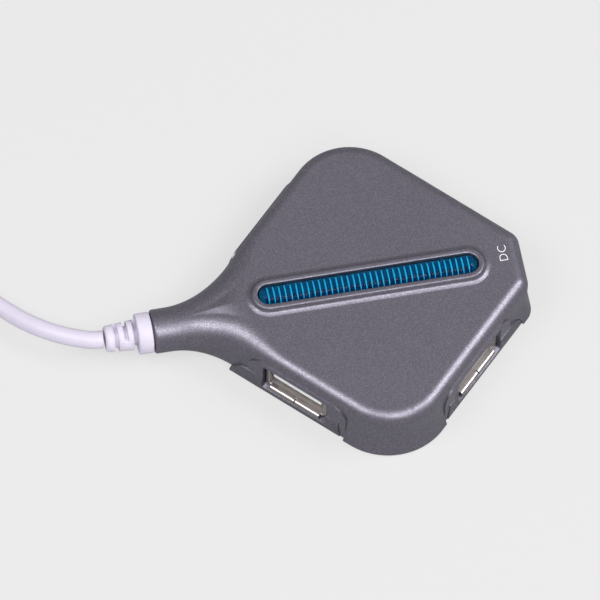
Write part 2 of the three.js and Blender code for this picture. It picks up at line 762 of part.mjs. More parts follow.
function jackHousing() {
  const back = JACK_FRONT - JACK_LENGTH;
  const mouth = DC_END - GAP;
  const wide = JACK_WIDTH / 2;
  const block = solid(box([back, -wide, ON_BOARD], [JACK_FRONT, wide, ON_BOARD + JACK_HEIGHT]));
  const collar = alongX(JACK_COLLAR, JACK_FRONT - GAP, mouth, JACK_CENTRE);
  const pinHole = alongX(JACK_PIN + GAP, back - GAP, mouth, JACK_CENTRE);
  const bore = alongX(JACK_BORE, mouth - JACK_BORE_DEPTH, mouth + GAP, JACK_CENTRE);
  return cutAll(block.add(collar), [pinHole, bore]);
}

function jackPin() {
  const back = JACK_FRONT - JACK_LENGTH - GAP;
  const tip = DC_END - GAP - JACK_PIN_BACK;
  const profile = [
    [back, 0],
    [back, JACK_PIN],
    [tip - JACK_PIN / 2, JACK_PIN],
    [tip, JACK_PIN / 2],
    [tip, 0],
  ];
  return turnedAlongX(profile, JACK_CENTRE, 12);
}

place("dc_jack_housing", geometryOf(jackHousing()), 0x17171a, 0.5, 0);
place("dc_jack_pin", jackPin(), 0xc7c9cc, 0.25, 1);

// ---- screws and feet ----------------------------------------------------------------

function caseScrew() {
  const body = solid(
    turned(
      [
        [0, 0],
        [SCREW_HEAD_RADIUS, 0],
        [SCREW_HEAD_RADIUS, SCREW_HEAD_HEIGHT],
        [SCREW_RADIUS, SCREW_HEAD_HEIGHT],
        [SCREW_RADIUS, SCREW_LENGTH - SCREW_RADIUS],
        [SCREW_RADIUS / 2, SCREW_LENGTH],
        [0, SCREW_LENGTH],
      ],
      20,
    ),
  );
  const half = SCREW_SLOT / 2;
  const reach = SCREW_SLOT_REACH;
  const across = solid(box([-reach, -half, -GAP], [reach, half, SCREW_SLOT_DEPTH]));
  const along = solid(box([-half, -reach, -GAP], [half, reach, SCREW_SLOT_DEPTH]));
  return body.subtract(across.add(along));
}

[SCREW_Y, -SCREW_Y].forEach((y, i) => {
  const mesh = place("case_screw_" + (i + 1), geometryOf(caseScrew()), 0xa9abae, 0.35, 1);
  mesh.position.y = y;
});

footPlaces().forEach(([x, y], i) => {
  const top = FOOT_SUNK - GAP;
  const foot = disc(FOOT_RADIUS, -FOOT_PROUD, top);
  const mesh = place("rubber_foot_" + (i + 1), foot, 0x1a1a1a, 0.9, 0);
  mesh.position.set(x, y, 0);
});

// ---- strain relief and inner wires --------------------------------------------------

function strainRelief() {
  const keyRadius = STEM_RADIUS + RELIEF_KEY_REACH;
  const keyEnd = KEY_START + GAP + RELIEF_KEY;
  const collarEnd = RELIEF_OUTER - RELIEF_COLLAR;
  const tip = RELIEF_TIP;
  const body = solid(
    turnedAlongX(
      [
        [tip, 0],
        [tip, RELIEF_END_RADIUS - GAP],
        [tip + GAP, RELIEF_END_RADIUS],
        [collarEnd, RELIEF_SLEEVE_RADIUS],
        [collarEnd, RELIEF_COLLAR_RADIUS],
        [RELIEF_OUTER, RELIEF_COLLAR_RADIUS],
        [RELIEF_OUTER, STEM_RADIUS],
        [KEY_START + GAP, STEM_RADIUS],
        [KEY_START + GAP, keyRadius],
        [keyEnd, keyRadius],
        [keyEnd, 0],
      ],
      NECK_HEIGHT,
    ),
  );
  const slots = RELIEF_SLOTS.map((from, i) => {
    const x = RELIEF_OUTER - from;
    const low = x - RELIEF_SLOT_WIDTH / 2;
    const high = x + RELIEF_SLOT_WIDTH / 2;
    const core = alongX(RELIEF_CORE, low - GAP, high + GAP, NECK_HEIGHT);
    const ring = alongX(RELIEF_COLLAR_RADIUS + GAP, low, high, NECK_HEIGHT).subtract(core);
    const [right, left] = i % 2 === 1 ? [-OUTSIDE, 0] : [0, OUTSIDE];
    const bottom = NECK_HEIGHT - RELIEF_WEB;
    const web = box([low - GAP, right, bottom], [high + GAP, left, NECK_HEIGHT + RELIEF_WEB]);
    return ring.subtract(solid(web));
  });
  return cutAll(body, slots);
}

place("strain_relief", geometryOf(strainRelief()), 0xe6e2ea, 0.5, 0);

// A tube of a round section along a route, as closed ends on an extruded path.
function tube(points, radius, sides, steps) {
  const section = outline(arc(0, 0, radius, 0, 360, sides).slice(1));
  const path = new THREE.CatmullRomCurve3(points.map((p) => new THREE.Vector3(...p)));
  return new THREE.ExtrudeGeometry(section, {
    steps,
    extrudePath: path,
    bevelEnabled: false,
  });
}

const wireColours = [0xc22a2a, 0xe8e8e8, 0x2f8a3f, 0x1a1a1a];
const wireStart = KEY_START + RELIEF_KEY + 2 * GAP;
WIRE_Y.forEach((y, i) => {
  const end = ON_BOARD + WIRE_RADIUS;
  const fanned = y * WIRE_SPREAD;
  const route = [
    [wireStart, y, NECK_HEIGHT],
    [wireStart + 3, y, NECK_HEIGHT],
    [wireStart + 7, fanned, NECK_HEIGHT - WIRE_RADIUS],
    [WIRE_LAND - 2.5, fanned, end + WIRE_RADIUS],
    [WIRE_LAND, fanned, end],
  ];
  place("wire_" + (i + 1), tube(route, WIRE_RADIUS, 6, 12), wireColours[i], 0.5, 0);
});

// ---- cable, coil, tie and plug, on the table ----------------------------------------

const table = new THREE.Group();
table.position.set(-CASE_CENTRE, 0, 0);
root.add(table);

place("cable_lead", tube(LEAD_POINTS, CABLE_RADIUS, 8, 22), 0xe9e6f0, 0.45, 0, table);
place("cable_tail", tube(TAIL_POINTS, CABLE_RADIUS, 8, 8), 0xe9e6f0, 0.45, 0, table);

const coilLow = COIL_LIFT;
const coilHigh = COIL_LIFT + 4 * CABLE_RADIUS;
const coilIn = COIL_INNER - CABLE_RADIUS;
const coilOut = COIL_OUTER + CABLE_RADIUS;

function coilRing() {
  const profile = [
    [coilIn + COIL_EDGE, coilLow],
    [coilOut - COIL_EDGE, coilLow],
    [coilOut, coilLow + COIL_EDGE],
    [coilOut, coilHigh - COIL_EDGE],
    [coilOut - COIL_EDGE, coilHigh],
    [coilIn + COIL_EDGE, coilHigh],
    [coilIn, coilHigh - COIL_EDGE],
    [coilIn, coilLow + COIL_EDGE],
    [coilIn + COIL_EDGE, coilLow],
  ];
  return turned(profile, 40);
}

const coil = place("cable_coil", coilRing(), 0xe9e6f0, 0.45, 0, table);
coil.position.set(COIL_CENTRE[0], COIL_CENTRE[1], 0);

function coilTie() {
  const inWidth = coilOut - coilIn + 2 * GAP;
  const inHeight = coilHigh - coilLow + 2 * GAP;
  const outWidth = inWidth + 2 * TIE_THICK;
  const outHeight = inHeight + 2 * TIE_THICK;
  const band = roundedRectangle(outWidth, outHeight, COIL_EDGE + TIE_THICK);
  band.holes.push(roundedRectangle(inWidth, inHeight, COIL_EDGE));
  const options = { depth: TIE_WIDTH, bevelEnabled: false };
  return new THREE.ExtrudeGeometry(band, options)
    .translate(0, 0, -TIE_WIDTH / 2)
    .rotateX(QUARTER_TURN)
    .translate((coilIn + coilOut) / 2, 0, (coilLow + coilHigh) / 2)
    .rotateZ(rad(TIE_TURN));
}

const tie = place("cable_tie", coilTie(), 0x2b2b30, 0.8, 0, table);
tie.position.copy(coil.position);

// Plug pieces are drawn with +X the way the plug points, from the cable's end.
const plug = new THREE.Group();
plug.position.set(...PLUG_PLACE);
plug.rotation.z = rad(PLUG_TURN);
table.add(plug);

function plugGrip() {
  const start = GAP;
  const back = start + GRIP_TAPER;
  const end = back + GRIP_LENGTH;
  const section = roundedRectangle(GRIP_HEIGHT, GRIP_WIDTH, GRIP_CORNER);
  const block = new THREE.ExtrudeGeometry(section, {
    depth: GRIP_LENGTH - 2 * GRIP_EDGE,
    bevelThickness: GRIP_EDGE,
    bevelSize: GRIP_EDGE,
    bevelOffset: -GRIP_EDGE,
    bevelSegments: 2,
  })
    .translate(0, 0, back + GRIP_EDGE)
    .rotateY(QUARTER_TURN);
  const taperEnd = back + GRIP_EDGE;
  const taper = turnedAlongX(
    [
      [start, 0],
      [start, GRIP_TAPER_RADIUS],
      [taperEnd, GRIP_HEIGHT / 2 - GAP],
      [taperEnd, 0],
    ],
    0,
    20,
  );
  const seat = solid(
    box(
      [end - PLUG_INSET - GAP, -PLUG_WIDTH / 2 - GAP, -PLUG_HEIGHT / 2 - GAP],
      [end + GAP, PLUG_WIDTH / 2 + GAP, PLUG_HEIGHT / 2 + GAP],
    ),
  );
  return solid(block).add(solid(taper)).subtract(seat);
}

const plugRoot = GAP + GRIP_TAPER + GRIP_LENGTH - PLUG_INSET;
const plugEnd = plugRoot + PLUG_INSET + PLUG_LENGTH;
const coreTop = -PLUG_HEIGHT / 2 + SHEET + GAP + PLUG_CORE_HEIGHT;

function plugShell() {
  const wide = PLUG_WIDTH / 2;
  const tall = PLUG_HEIGHT / 2;
  const outer = solid(box([plugRoot, -wide, -tall], [plugEnd, wide, tall]));
  const inner = solid(
    box([plugRoot + SHEET, -wide + SHEET, -tall + SHEET], [plugEnd + GAP, wide - SHEET, tall - SHEET]),
  );
  const x = plugEnd - PLUG_LENGTH / 2;
  const half = PLUG_WINDOW / 2;
  const windows = [-PLUG_WINDOW_Y, PLUG_WINDOW_Y].map((y) =>
    solid(box([x, y - half, 0], [x + PLUG_WINDOW, y + half, tall + GAP])),
  );
  return cutAll(outer.subtract(inner), windows);
}

function plugCore() {
  const wide = PLUG_WIDTH / 2 - SHEET - GAP;
  const low = -PLUG_HEIGHT / 2 + SHEET + GAP;
  return box([plugRoot + SHEET + GAP, -wide, low], [plugEnd - GAP, wide, coreTop]);
}

place("plug_grip", geometryOf(plugGrip()), 0xe6e2ea, 0.5, 0, plug);
place("plug_shell", geometryOf(plugShell()), 0xc9c9cc, 0.22, 1, plug);
place("plug_core", plugCore(), 0xf0f0ee, 0.5, 0, plug);
CONTACT_X.forEach((y, i) => {
  const low = [plugEnd - GAP - PLUG_CONTACT_LENGTH, y - CONTACT_WIDTH / 2, coreTop + GAP];
  const high = [plugEnd - CONTACT_WIDTH, y + CONTACT_WIDTH / 2, coreTop + GAP + CONTACT_THICK];
  place("plug_contact_" + (i + 1), box(low, high), 0xd8b45c, 0.3, 1, plug);
});

export default root;
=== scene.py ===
"""Looks of a four-port USB 2.0 hub: a metallic grey diamond case, a blue light bar, four sockets, a DC
inlet, and a captive pale cable that ends in a series A plug. Sizes are in millimetres in the case's
own frame: the middle of its underside is 0, 0, 0, the neck points towards -X and the DC inlet to +X."""

import math

import bmesh
import bpy
import numpy as np
from mathutils import Matrix, Vector


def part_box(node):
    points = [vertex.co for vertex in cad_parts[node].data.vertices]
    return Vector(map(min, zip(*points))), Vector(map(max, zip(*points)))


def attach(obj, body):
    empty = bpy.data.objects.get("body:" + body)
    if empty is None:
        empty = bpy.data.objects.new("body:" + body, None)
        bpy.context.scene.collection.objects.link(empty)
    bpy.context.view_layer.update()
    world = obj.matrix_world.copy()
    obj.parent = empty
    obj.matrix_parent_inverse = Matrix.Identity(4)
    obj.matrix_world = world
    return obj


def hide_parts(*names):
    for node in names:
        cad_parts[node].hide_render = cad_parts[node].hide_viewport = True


bl_info = {
    "name": "USB hub",
    "version": (1, 0, 0),
    "blender": (4, 5, 0),
    "location": "View3D > Sidebar > USB hub",
    "description": "Builds the visual model of a four-port USB hub around its packed frame",
    "category": "Object",
}

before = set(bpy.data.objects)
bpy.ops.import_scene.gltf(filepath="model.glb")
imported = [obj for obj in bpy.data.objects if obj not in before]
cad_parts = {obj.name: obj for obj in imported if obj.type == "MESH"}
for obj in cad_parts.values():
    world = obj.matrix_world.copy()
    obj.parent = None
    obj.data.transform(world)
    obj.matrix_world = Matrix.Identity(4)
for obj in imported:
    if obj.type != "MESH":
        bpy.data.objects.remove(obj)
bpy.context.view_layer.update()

MM = 0.001
FINISHES = {}  # shader groups and materials, by short name

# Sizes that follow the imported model, in millimetres. The second foot is on the case's line x = 0.
feet_low, feet_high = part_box("rubber_foot_2")
HUB_X = 500 * (feet_low.x + feet_high.x)
HUB_Z = 0.5
NECK_END = -43.1
NECK_RADIUS = 4.35
NECK_AXIS = 5.5
FLARE_RADIUS = 20.0
SIDE = 25.7
DC_END = 30.7
FACE = 26.05
STEP_FACE = 26.25
SOCKET_CENTRE = 4.96
BODY_HEIGHT = 12.4
WALL = 1.8
LENS_CENTRE = -0.3
LENS_LENGTH = 43.4
LENS_RADIUS = 1.95
SOCKETS = (
    ("front_left", 135, -1),
    ("front_right", 225, 1),
    ("back_right", -45, -1),
    ("back_left", 45, 1),
)
GAP = 0.07  # between the top cover and a step of the bottom cover
FACE_HEIGHT, FACE_NEAR, FACE_FAR, FACE_ROUND = 9.7, 10.8, 12.0, 3.2
STEP_HEIGHT, STEP_NEAR, STEP_FAR, STEP_NOTCH = 4.4, 15.0, 10.4, 1.2
MOUTH_WIDTH, MOUTH_HEIGHT, MOUTH_ROUND = 14.9, 7.3, 0.5
BORE_RADIUS, BORE_LENGTH = 3.0, 8
INLET_RADIUS, INLET_HEIGHT = 2.7, 6.25
ROOM_ROUND = 0.6  # rounding along the top of the room inside the case
NECK_ROUND = 0.5  # rounding of the neck's end

# How many points stand on each stretch of the case's plan and of its profile.
NECK_STEPS, FLARE_STEPS, BACK_STEPS, DC_STEPS = 5, 34, 46, 12
UNDER_STEPS, WALL_STEPS, TOP_STEPS, FLAT_STEPS = 12, 16, 18, 9
SLOT_STEPS = (14, 40)

# The rim's profile from the case to its inner edge: reach from the slot and share of its height.
RIM_GROW = (2.3, 2.2, 2.08, 1.95, 1.82, 1.7, 1.6, 1.51, 1.44, 1.37, 1.3)
RIM_GROW += (1.24, 1.18, 1.13, 1.08, 1.0, 0.9, 0.42, 0.35)
RIM_LIFT = (0, 0.02, 0.06, 0.11, 0.165, 0.22, 0.28, 0.36, 0.46, 0.57, 0.68)
RIM_LIFT += (0.78, 0.86, 0.92, 0.96, 0.985, 1, 1, 0.97)
LENS_GAP = 0.3
RIM_WRITTEN = 1.1  # gap and rim width for which the reaches are written

CROWN_SINK, CROWN_RISE = 0.55, 1.15
RIB_REACH, RIB_RISE, RIB_SINK, RIB_HALF, RIB_MARGIN = 1.65, 1.45, 0.7, 0.075, 1.8
# The tray under the ribs and its front half's dark sheet of painted shade, by depth below the crown's
# shoulder.
TRAY_LOW, TRAY_TOP, SHADE_SHEET_TOP = 1.5, 0.5, 0.45
# The sheet of painted shade in plan: its front and back edges, and how far short of the bar's ends it
# stops.
SHADE_SHEET_FRONT, SHADE_SHEET_BACK, SHADE_SHEET_MARGIN = -1.75, -0.35, 1.2
SHELL_HALF = 2.56  # half the height of a socket shell's opening
LETTER_SIZE, LETTER_PLACE, INK = 2.45, (27.6, -0.4), 0.012
TUBE_POINTS = 16
FLAT_ANGLE = 0.02  # radians under which two faces of a CAD solid count as one
IMAGE_WIDTH, SENSOR_WIDTH = 600, 36.0
SHOWN_SHARE, MIRROR_DIMMING = 0.82, 0.75
LAMP_SIZE = 0.5
LAMPS = (
    ("left_lamp", (-0.55, -0.18, 0.84), 0.85),
    ("right_lamp", (0.66, -0.12, 0.78), 1.0),
    ("front_lamp", (0.1, -0.56, 0.84), 0.75),
)


# ---- settings ----


def millimetres(name, description, default):
    return bpy.props.FloatProperty(name=name, description=description, default=default, precision=3)


def degrees(name, description, default):
    angle = math.radians(default)
    return bpy.props.FloatProperty(name=name, description=description, default=angle, subtype="ANGLE")


def tint(name, description, default):
    return bpy.props.FloatVectorProperty(
        name=name, description=description, default=default, size=3, min=0, max=1, subtype="COLOR"
    )


class HubShape(bpy.types.PropertyGroup):
    corner_radius: millimetres("Corner radius", "Front and back corners in plan, in mm", 12.1)
    dc_radius: millimetres("DC corner radius", "Corners beside the DC inlet, in mm", 3.2)
    top_round: millimetres("Top rounding", "Radius of the case's top edge, in mm", 2.6)
    skirt_flare: millimetres("Skirt flare", "How far the walls spread at the bottom, in mm", 1.0)
    skirt_height: millimetres("Skirt height", "Height at which the flare ends, in mm", 6.0)
    rim_width: millimetres("Rim width", "Width of the ring around the light bar, in mm", 0.95)
    rim_height: millimetres("Rim height", "Height of that ring over the case, in mm", 1.15)
    rib_count: bpy.props.IntProperty(
        name="Ribs", description="Number of ribs inside the light bar", default=36, min=2
    )
    cable_diameter: bpy.props.FloatProperty(
        name="Cable", description="Diameter of the cable", default=0.0035, unit="LENGTH"
    )


class HubColours(bpy.types.PropertyGroup):
    paint: tint("Paint", "Metallic paint of the case", (0.150, 0.140, 0.179))
    flake: tint("Flake", "Bright flakes in the paint", (0.39, 0.37, 0.43))
    lens: tint("Lens", "Moulded light bar", (0.07, 0.42, 0.56))
    ribs: tint("Ribs", "Ribs inside the light bar", (0.10, 0.62, 0.85))
    sheath: tint("Cable sheath", "Cable, strain relief and plug grip", (0.575, 0.535, 0.645))
    steel: tint("Socket steel", "Nickel-plated socket shells", (0.60, 0.565, 0.56))
    tongue: tint("Tongue", "White tongues in the sockets", (0.82, 0.82, 0.84))
    letters: tint("Lettering", "Printed letters", (0.72, 0.72, 0.76))


class HubStage(bpy.types.PropertyGroup):
    elevation: degrees("Elevation", "Camera's height angle", 61.2)
    swing: degrees("Swing", "Camera's turn about the hub", 14.15)
    roll: degrees("Roll", "Camera's roll", 3.5)
    focus: bpy.props.FloatProperty(
        name="Focal length", description="In six-hundredths of the picture's width", default=14820.0
    )
    distance: bpy.props.FloatProperty(name="Distance", description="In mm", default=2902.0)
    pan: bpy.props.FloatVectorProperty(
        name="Pan", description="View centre, in mm", default=(-13.35, 1.40), size=2
    )
    floor: tint("Floor", "Colour of the floor and the backdrop", (0.765, 0.765, 0.765))
    key_power: bpy.props.FloatProperty(name="Key lamp", description="Watts", default=6.8)
    sky: bpy.props.FloatProperty(name="Sky", description="Strength of the room's light", default=0.30)


# ---- shader groups ----


def feed(node, values):
    """Gives inputs of a node, by name or number, a value each or a link from another node."""
    for label, value in values.items():
        if isinstance(value, bpy.types.NodeSocket):
            node.id_data.links.new(value, node.inputs[label])
        else:
            node.inputs[label].default_value = value


def add_node(tree, kind, values=None, **settings):
    node = tree.nodes.new("ShaderNode" + kind)
    for name, value in settings.items():
        setattr(node, name, value)
    feed(node, values or {})
    return node


def group_tree(name, inputs, outputs):
    """A shader node group with float inputs (name, default) and float outputs."""
    tree = bpy.data.node_groups.new(name, "ShaderNodeTree")
    for label, default in inputs:
        made = tree.interface.new_socket(name=label, in_out="INPUT", socket_type="NodeSocketFloat")
        made.default_value = default
    for label in outputs:
        tree.interface.new_socket(name=label, in_out="OUTPUT", socket_type="NodeSocketFloat")
    return tree, tree.nodes.new("NodeGroupInput").outputs, tree.nodes.new("NodeGroupOutput")


def maths(tree, operation, first, second, clamp=False):
    node = add_node(tree, "Math", {0: first, 1: second}, operation=operation, use_clamp=clamp)
    return node.outputs[0]


def flake_group():
    """Metallic flakes: small cells with random brightness, softened by a coarser cloud."""
    inputs = [("Cells per metre", 7500.0), ("Cloud per metre", 60.0), ("Amount", 0.55)]
    tree, given, leave = group_tree("Metallic flakes", inputs, ["Flake", "Height"])
    place = add_node(tree, "TexCoord").outputs["Object"]
    cells = add_node(tree, "TexVoronoi", {"Vector": place, "Scale": given["Cells per metre"]})
    split = add_node(tree, "SeparateColor", {"Color": cells.outputs["Color"]}).outputs
    cloud = add_node(tree, "TexNoise", {"Vector": place, "Scale": given["Cloud per metre"]})
    mixed = maths(tree, "MULTIPLY", maths(tree, "POWER", split["Red"], 2.2), given["Amount"])
    soft = maths(tree, "MULTIPLY", maths(tree, "SUBTRACT", cloud.outputs["Fac"], 0.5), 0.1)
    flake = maths(tree, "ADD", mixed, soft, clamp=True)
    feed(leave, {"Flake": flake, "Height": split["Green"]})
    return tree


def grain_group():
    """Moulded grain: fine noise for height, and a slow drift for shade and gloss."""
    inputs = [("Grain per metre", 2500.0), ("Drift per metre", 70.0)]
    tree, given, leave = group_tree("Moulded grain", inputs, ["Height", "Drift"])
    place = add_node(tree, "TexCoord").outputs["Object"]
    for (scale, _), detail, output in zip(inputs, (3.0, 2.0), ("Height", "Drift")):
        noise = add_node(tree, "TexNoise", {"Detail": detail, "Vector": place, "Scale": given[scale]})
        feed(leave, {output: noise.outputs["Fac"]})
    return tree


def new_material(name, group, values=None):
    """A material, its tree and its shader, with the outputs of one shader group in it."""
    material = bpy.data.materials.new(name)
    material.use_nodes = True
    tree = material.node_tree
    outputs = add_node(tree, "Group", values, node_tree=FINISHES[group]).outputs if group else None
    return material, tree, tree.nodes["Principled BSDF"], outputs


def blend_colour(tree, factor, first, second):
    colours = {0: factor, 6: (*first, 1), 7: (*second, 1)}
    return add_node(tree, "Mix", colours, data_type="RGBA").outputs[2]


def blend_value(tree, factor, first, second):
    values = {"Value": factor, "To Min": first, "To Max": second}
    return add_node(tree, "MapRange", values).outputs["Result"]


def bump(tree, height, strength, distance):
    values = {"Strength": strength, "Distance": distance, "Height": height}
    return add_node(tree, "Bump", values).outputs["Normal"]


def shade(colour, factor):
    return tuple(min(1.0, c * factor) for c in colour)


def metallic_paint(name, colour, flake, roughness=0.4):
    material, tree, shader, given = new_material(name, "flakes")
    surface = {
        "Base Color": blend_colour(tree, given["Flake"], colour, flake),
        "Roughness": blend_value(tree, given["Flake"], roughness + 0.05, roughness - 0.07),
        "Metallic": 0.75,
        "Coat Weight": 0.25,
        "Coat Roughness": 0.22,
        "Normal": bump(tree, given["Height"], 0.12, 0.00003),
    }
    feed(shader, surface)
    return material


def moulded(name, colour, roughness=0.5, depth=0.00002, specular=0.5, spread=0.12, glow=None):
    """Moulded plastic or rubber. A glow is a colour and a strength of emission, used here as painted
    light on parts that are no lamp.
    """
    material, tree, shader, given = new_material(name, "grain", {"Grain per metre": 2500.0})
    low, high = shade(colour, 1 - spread), shade(colour, 1 + spread / 2)
    surface = {
        "Base Color": blend_colour(tree, given["Drift"], low, high),
        "Roughness": blend_value(tree, given["Drift"], roughness - 0.06, roughness + 0.06),
        "Specular IOR Level": specular,
        "Normal": bump(tree, given["Height"], 0.25, depth),
    }
    feed(shader, surface)
    if glow:
        feed(shader, {"Emission Color": (*glow[0], 1), "Emission Strength": glow[1]})
    return material


def plated(name, colour, roughness):
    scales = {"Grain per metre": 900.0, "Drift per metre": 180.0}
    material, tree, shader, given = new_material(name, "grain", scales)
    surface = {
        "Base Color": blend_colour(tree, given["Drift"], shade(colour, 0.82), colour),
        "Roughness": blend_value(tree, given["Drift"], roughness - 0.08, roughness + 0.1),
        "Metallic": 1.0,
        "Normal": bump(tree, given["Height"], 0.05, 0.00001),
    }
    feed(shader, surface)
    return material


def clear_lens(name, colour):
    scales = {"Grain per metre": 400.0, "Drift per metre": 120.0}
    material, tree, shader, given = new_material(name, "grain", scales)
    tint_of_lens = blend_colour(tree, given["Drift"], shade(colour, 0.85), colour)
    surface = {"Base Color": tint_of_lens, "Roughness": 0.12, "Transmission Weight": 1.0, "IOR": 1.15}
    feed(shader, surface)
    return material


# ---- mesh helpers ----


def to_frame(points, height=HUB_Z):
    """Points in the case's frame, in mm, as points in the row's frame, in metres."""
    points = np.asarray(points, float).reshape(-1, 3)
    return (points + (HUB_X, 0.0, height)) * MM


def grid_faces(rows, columns, start, closed):
    """Quads of a grid of rows x columns points, wound so that rows x columns gives the outward side."""
    r = np.arange(rows - 1)[:, None]
    c = np.arange(columns if closed else columns - 1)[None, :]
    nxt = (c + 1) % columns
    a = r * columns + c
    b = r * columns + nxt
    d = (r + 1) * columns + c
    e = (r + 1) * columns + nxt
    return np.stack([a, b, e, d], axis=-1).reshape(-1, 4) + start


def prism_faces(count, start=0):
    """Walls and both ends of a prism whose outline stands twice in a row among the points."""
    index = np.arange(count)
    after = (index + 1) % count
    walls = np.stack([index, after, after + count, index + count], axis=-1)
    return [list(start + face) for face in [*walls, index[::-1], index + count]]


def shade_smooth(mesh):
    mesh.polygons.foreach_set("use_smooth", np.ones(len(mesh.polygons), bool))


def mesh_object(name, points, faces, smooth=True):
    mesh = bpy.data.meshes.new(name)
    mesh.from_pydata([tuple(p) for p in points], [], [tuple(int(i) for i in f) for f in faces])
    mesh.update()
    thing = bpy.data.objects.new(name, mesh)
    bpy.context.scene.collection.objects.link(thing)
    if smooth:
        shade_smooth(mesh)
    return thing


def merge(thing, distance=2e-6, outward=True, dissolve=None):
    """Joins doubled points, drops empty faces and, if asked, turns the faces outwards."""
    cage = bmesh.new()
    cage.from_mesh(thing.data)
    bmesh.ops.remove_doubles(cage, verts=cage.verts, dist=distance)
    bmesh.ops.dissolve_degenerate(cage, edges=cage.edges, dist=distance)
    if dissolve:
        bmesh.ops.dissolve_limit(cage, angle_limit=dissolve, verts=cage.verts, edges=cage.edges)
    if outward:
        bmesh.ops.recalc_face_normals(cage, faces=cage.faces)
    cage.to_mesh(thing.data)
    cage.free()
    return thing


def surfaces(name, grids, closed=False, height=HUB_Z):
    """One object from several grids of points (rows, columns, 3) in mm, joined where they meet. Closed
    grids also join their last column to their first."""
    points, faces, start = [], [], 0
    for grid in grids:
        rows, columns = grid.shape[:2]
        points.append(to_frame(grid, height))
        faces.append(grid_faces(rows, columns, start, closed))
        start += rows * columns
    return merge(mesh_object(name, np.vstack(points), np.vstack(faces)))


def prism_object(name, outline, low, high, turn=None):
    """An upright prism: the outline at two heights, walls between and a flat end on each. With a turn
    in degrees, the outline is (along, height) in a socket's frame and the prism runs outwards."""
    outline = np.asarray(outline, float)
    n = len(outline)
    flat = [np.c_[outline, np.full(n, level)] for level in (low, high)]
    points = np.vstack(flat)
    if turn is not None:
        points = side_points(points[:, [0, 2, 1]], turn)
    return merge(mesh_object(name, to_frame(points), prism_faces(n), smooth=False))


def side_points(points, turn):
    """Points in a socket's frame, +X along the side and +Y outwards, turned into the case's frame."""
    a = math.radians(turn)
    points = np.asarray(points, float)
    x, y = points[..., 0], points[..., 1]
    return np.stack(
        [x * math.cos(a) - y * math.sin(a), x * math.sin(a) + y * math.cos(a), points[..., 2]], axis=-1
    )


def rod_object(name, start, end, radius, axis_height, around=64):
    """A round rod along X, from start to end, with its axis at a height."""
    x = np.array([start, start, end, end], float)
    r = np.array([0, radius, radius, 0], float)
    a = np.linspace(0, 2 * np.pi, around, endpoint=False)
    grid = np.stack(
        [
            np.repeat(x[:, None], around, 1),
            r[:, None] * np.cos(a),
            axis_height + r[:, None] * np.sin(a),
        ],
        axis=-1,
    )
    return surfaces(name, [grid], closed=True)


def arc_points(x, y, radius, start, end, count):
    a = np.radians(np.linspace(start, end, count))
    return np.c_[x + radius * np.cos(a), y + radius * np.sin(a)]


def combine(target, others, operation):
    """Boolean of the target with each other object, applied to the target's mesh."""
    for other in others:
        change = target.modifiers.new("Cut", "BOOLEAN")
        change.operation = operation
        change.object = other
        change.solver = "MANIFOLD"
    evaluated = target.evaluated_get(bpy.context.evaluated_depsgraph_get())
    made = bpy.data.meshes.new_from_object(evaluated)
    target.modifiers.clear()
    old = target.data
    target.data = made
    bpy.data.meshes.remove(old)
    made.name = target.name
    return target


def remove(things):
    for thing in things:
        mesh = thing.data
        bpy.data.objects.remove(thing)
        bpy.data.meshes.remove(mesh)


def smooth_edges(thing, angle=32.0):
    """Smooth shading with crisp edges over an angle, weighted by face area."""
    mesh = thing.data
    shade_smooth(mesh)
    mesh.set_sharp_from_angle(angle=math.radians(angle))
    weigh = thing.modifiers.new("Weighted", "WEIGHTED_NORMAL")
    weigh.keep_sharp = True


def soften(thing, width, segments=2, angle=35.0):
    """A small rounding on every edge that is sharper than an angle."""
    edge = thing.modifiers.new("Rounded edges", "BEVEL")
    edge.width = width * MM
    edge.segments = segments
    edge.limit_method = "ANGLE"
    edge.angle_limit = math.radians(angle)
    edge.harden_normals = True
    edge.use_clamp_overlap = True


def settle(thing, finish, replaces=()):
    thing.data.materials.clear()
    thing.data.materials.append(FINISHES[finish])
    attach(thing, "root")
    if replaces:
        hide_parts(*replaces)
    return thing


def dress(node, finish):
    """Gives a CAD node that keeps its own shape its material."""
    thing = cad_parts[node]
    thing.data.materials.clear()
    thing.data.materials.append(FINISHES[finish])
    return thing


def refined(node, name, finish, width=0.12, segments=2, angle=35.0):
    """A merged copy of a CAD node with rounded edges, which stands for the node."""
    thing = bpy.data.objects.new(name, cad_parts[node].data.copy())
    bpy.context.scene.collection.objects.link(thing)
    merge(thing, 1e-6, outward=False, dissolve=FLAT_ANGLE)
    shade_smooth(thing.data)
    soften(thing, width, segments, angle)
    return settle(thing, finish, [node])


# ---- case ----


def smooth_step(t):
    t = np.clip(t, 0.0, 1.0)
    return t * t * (3 - 2 * t)


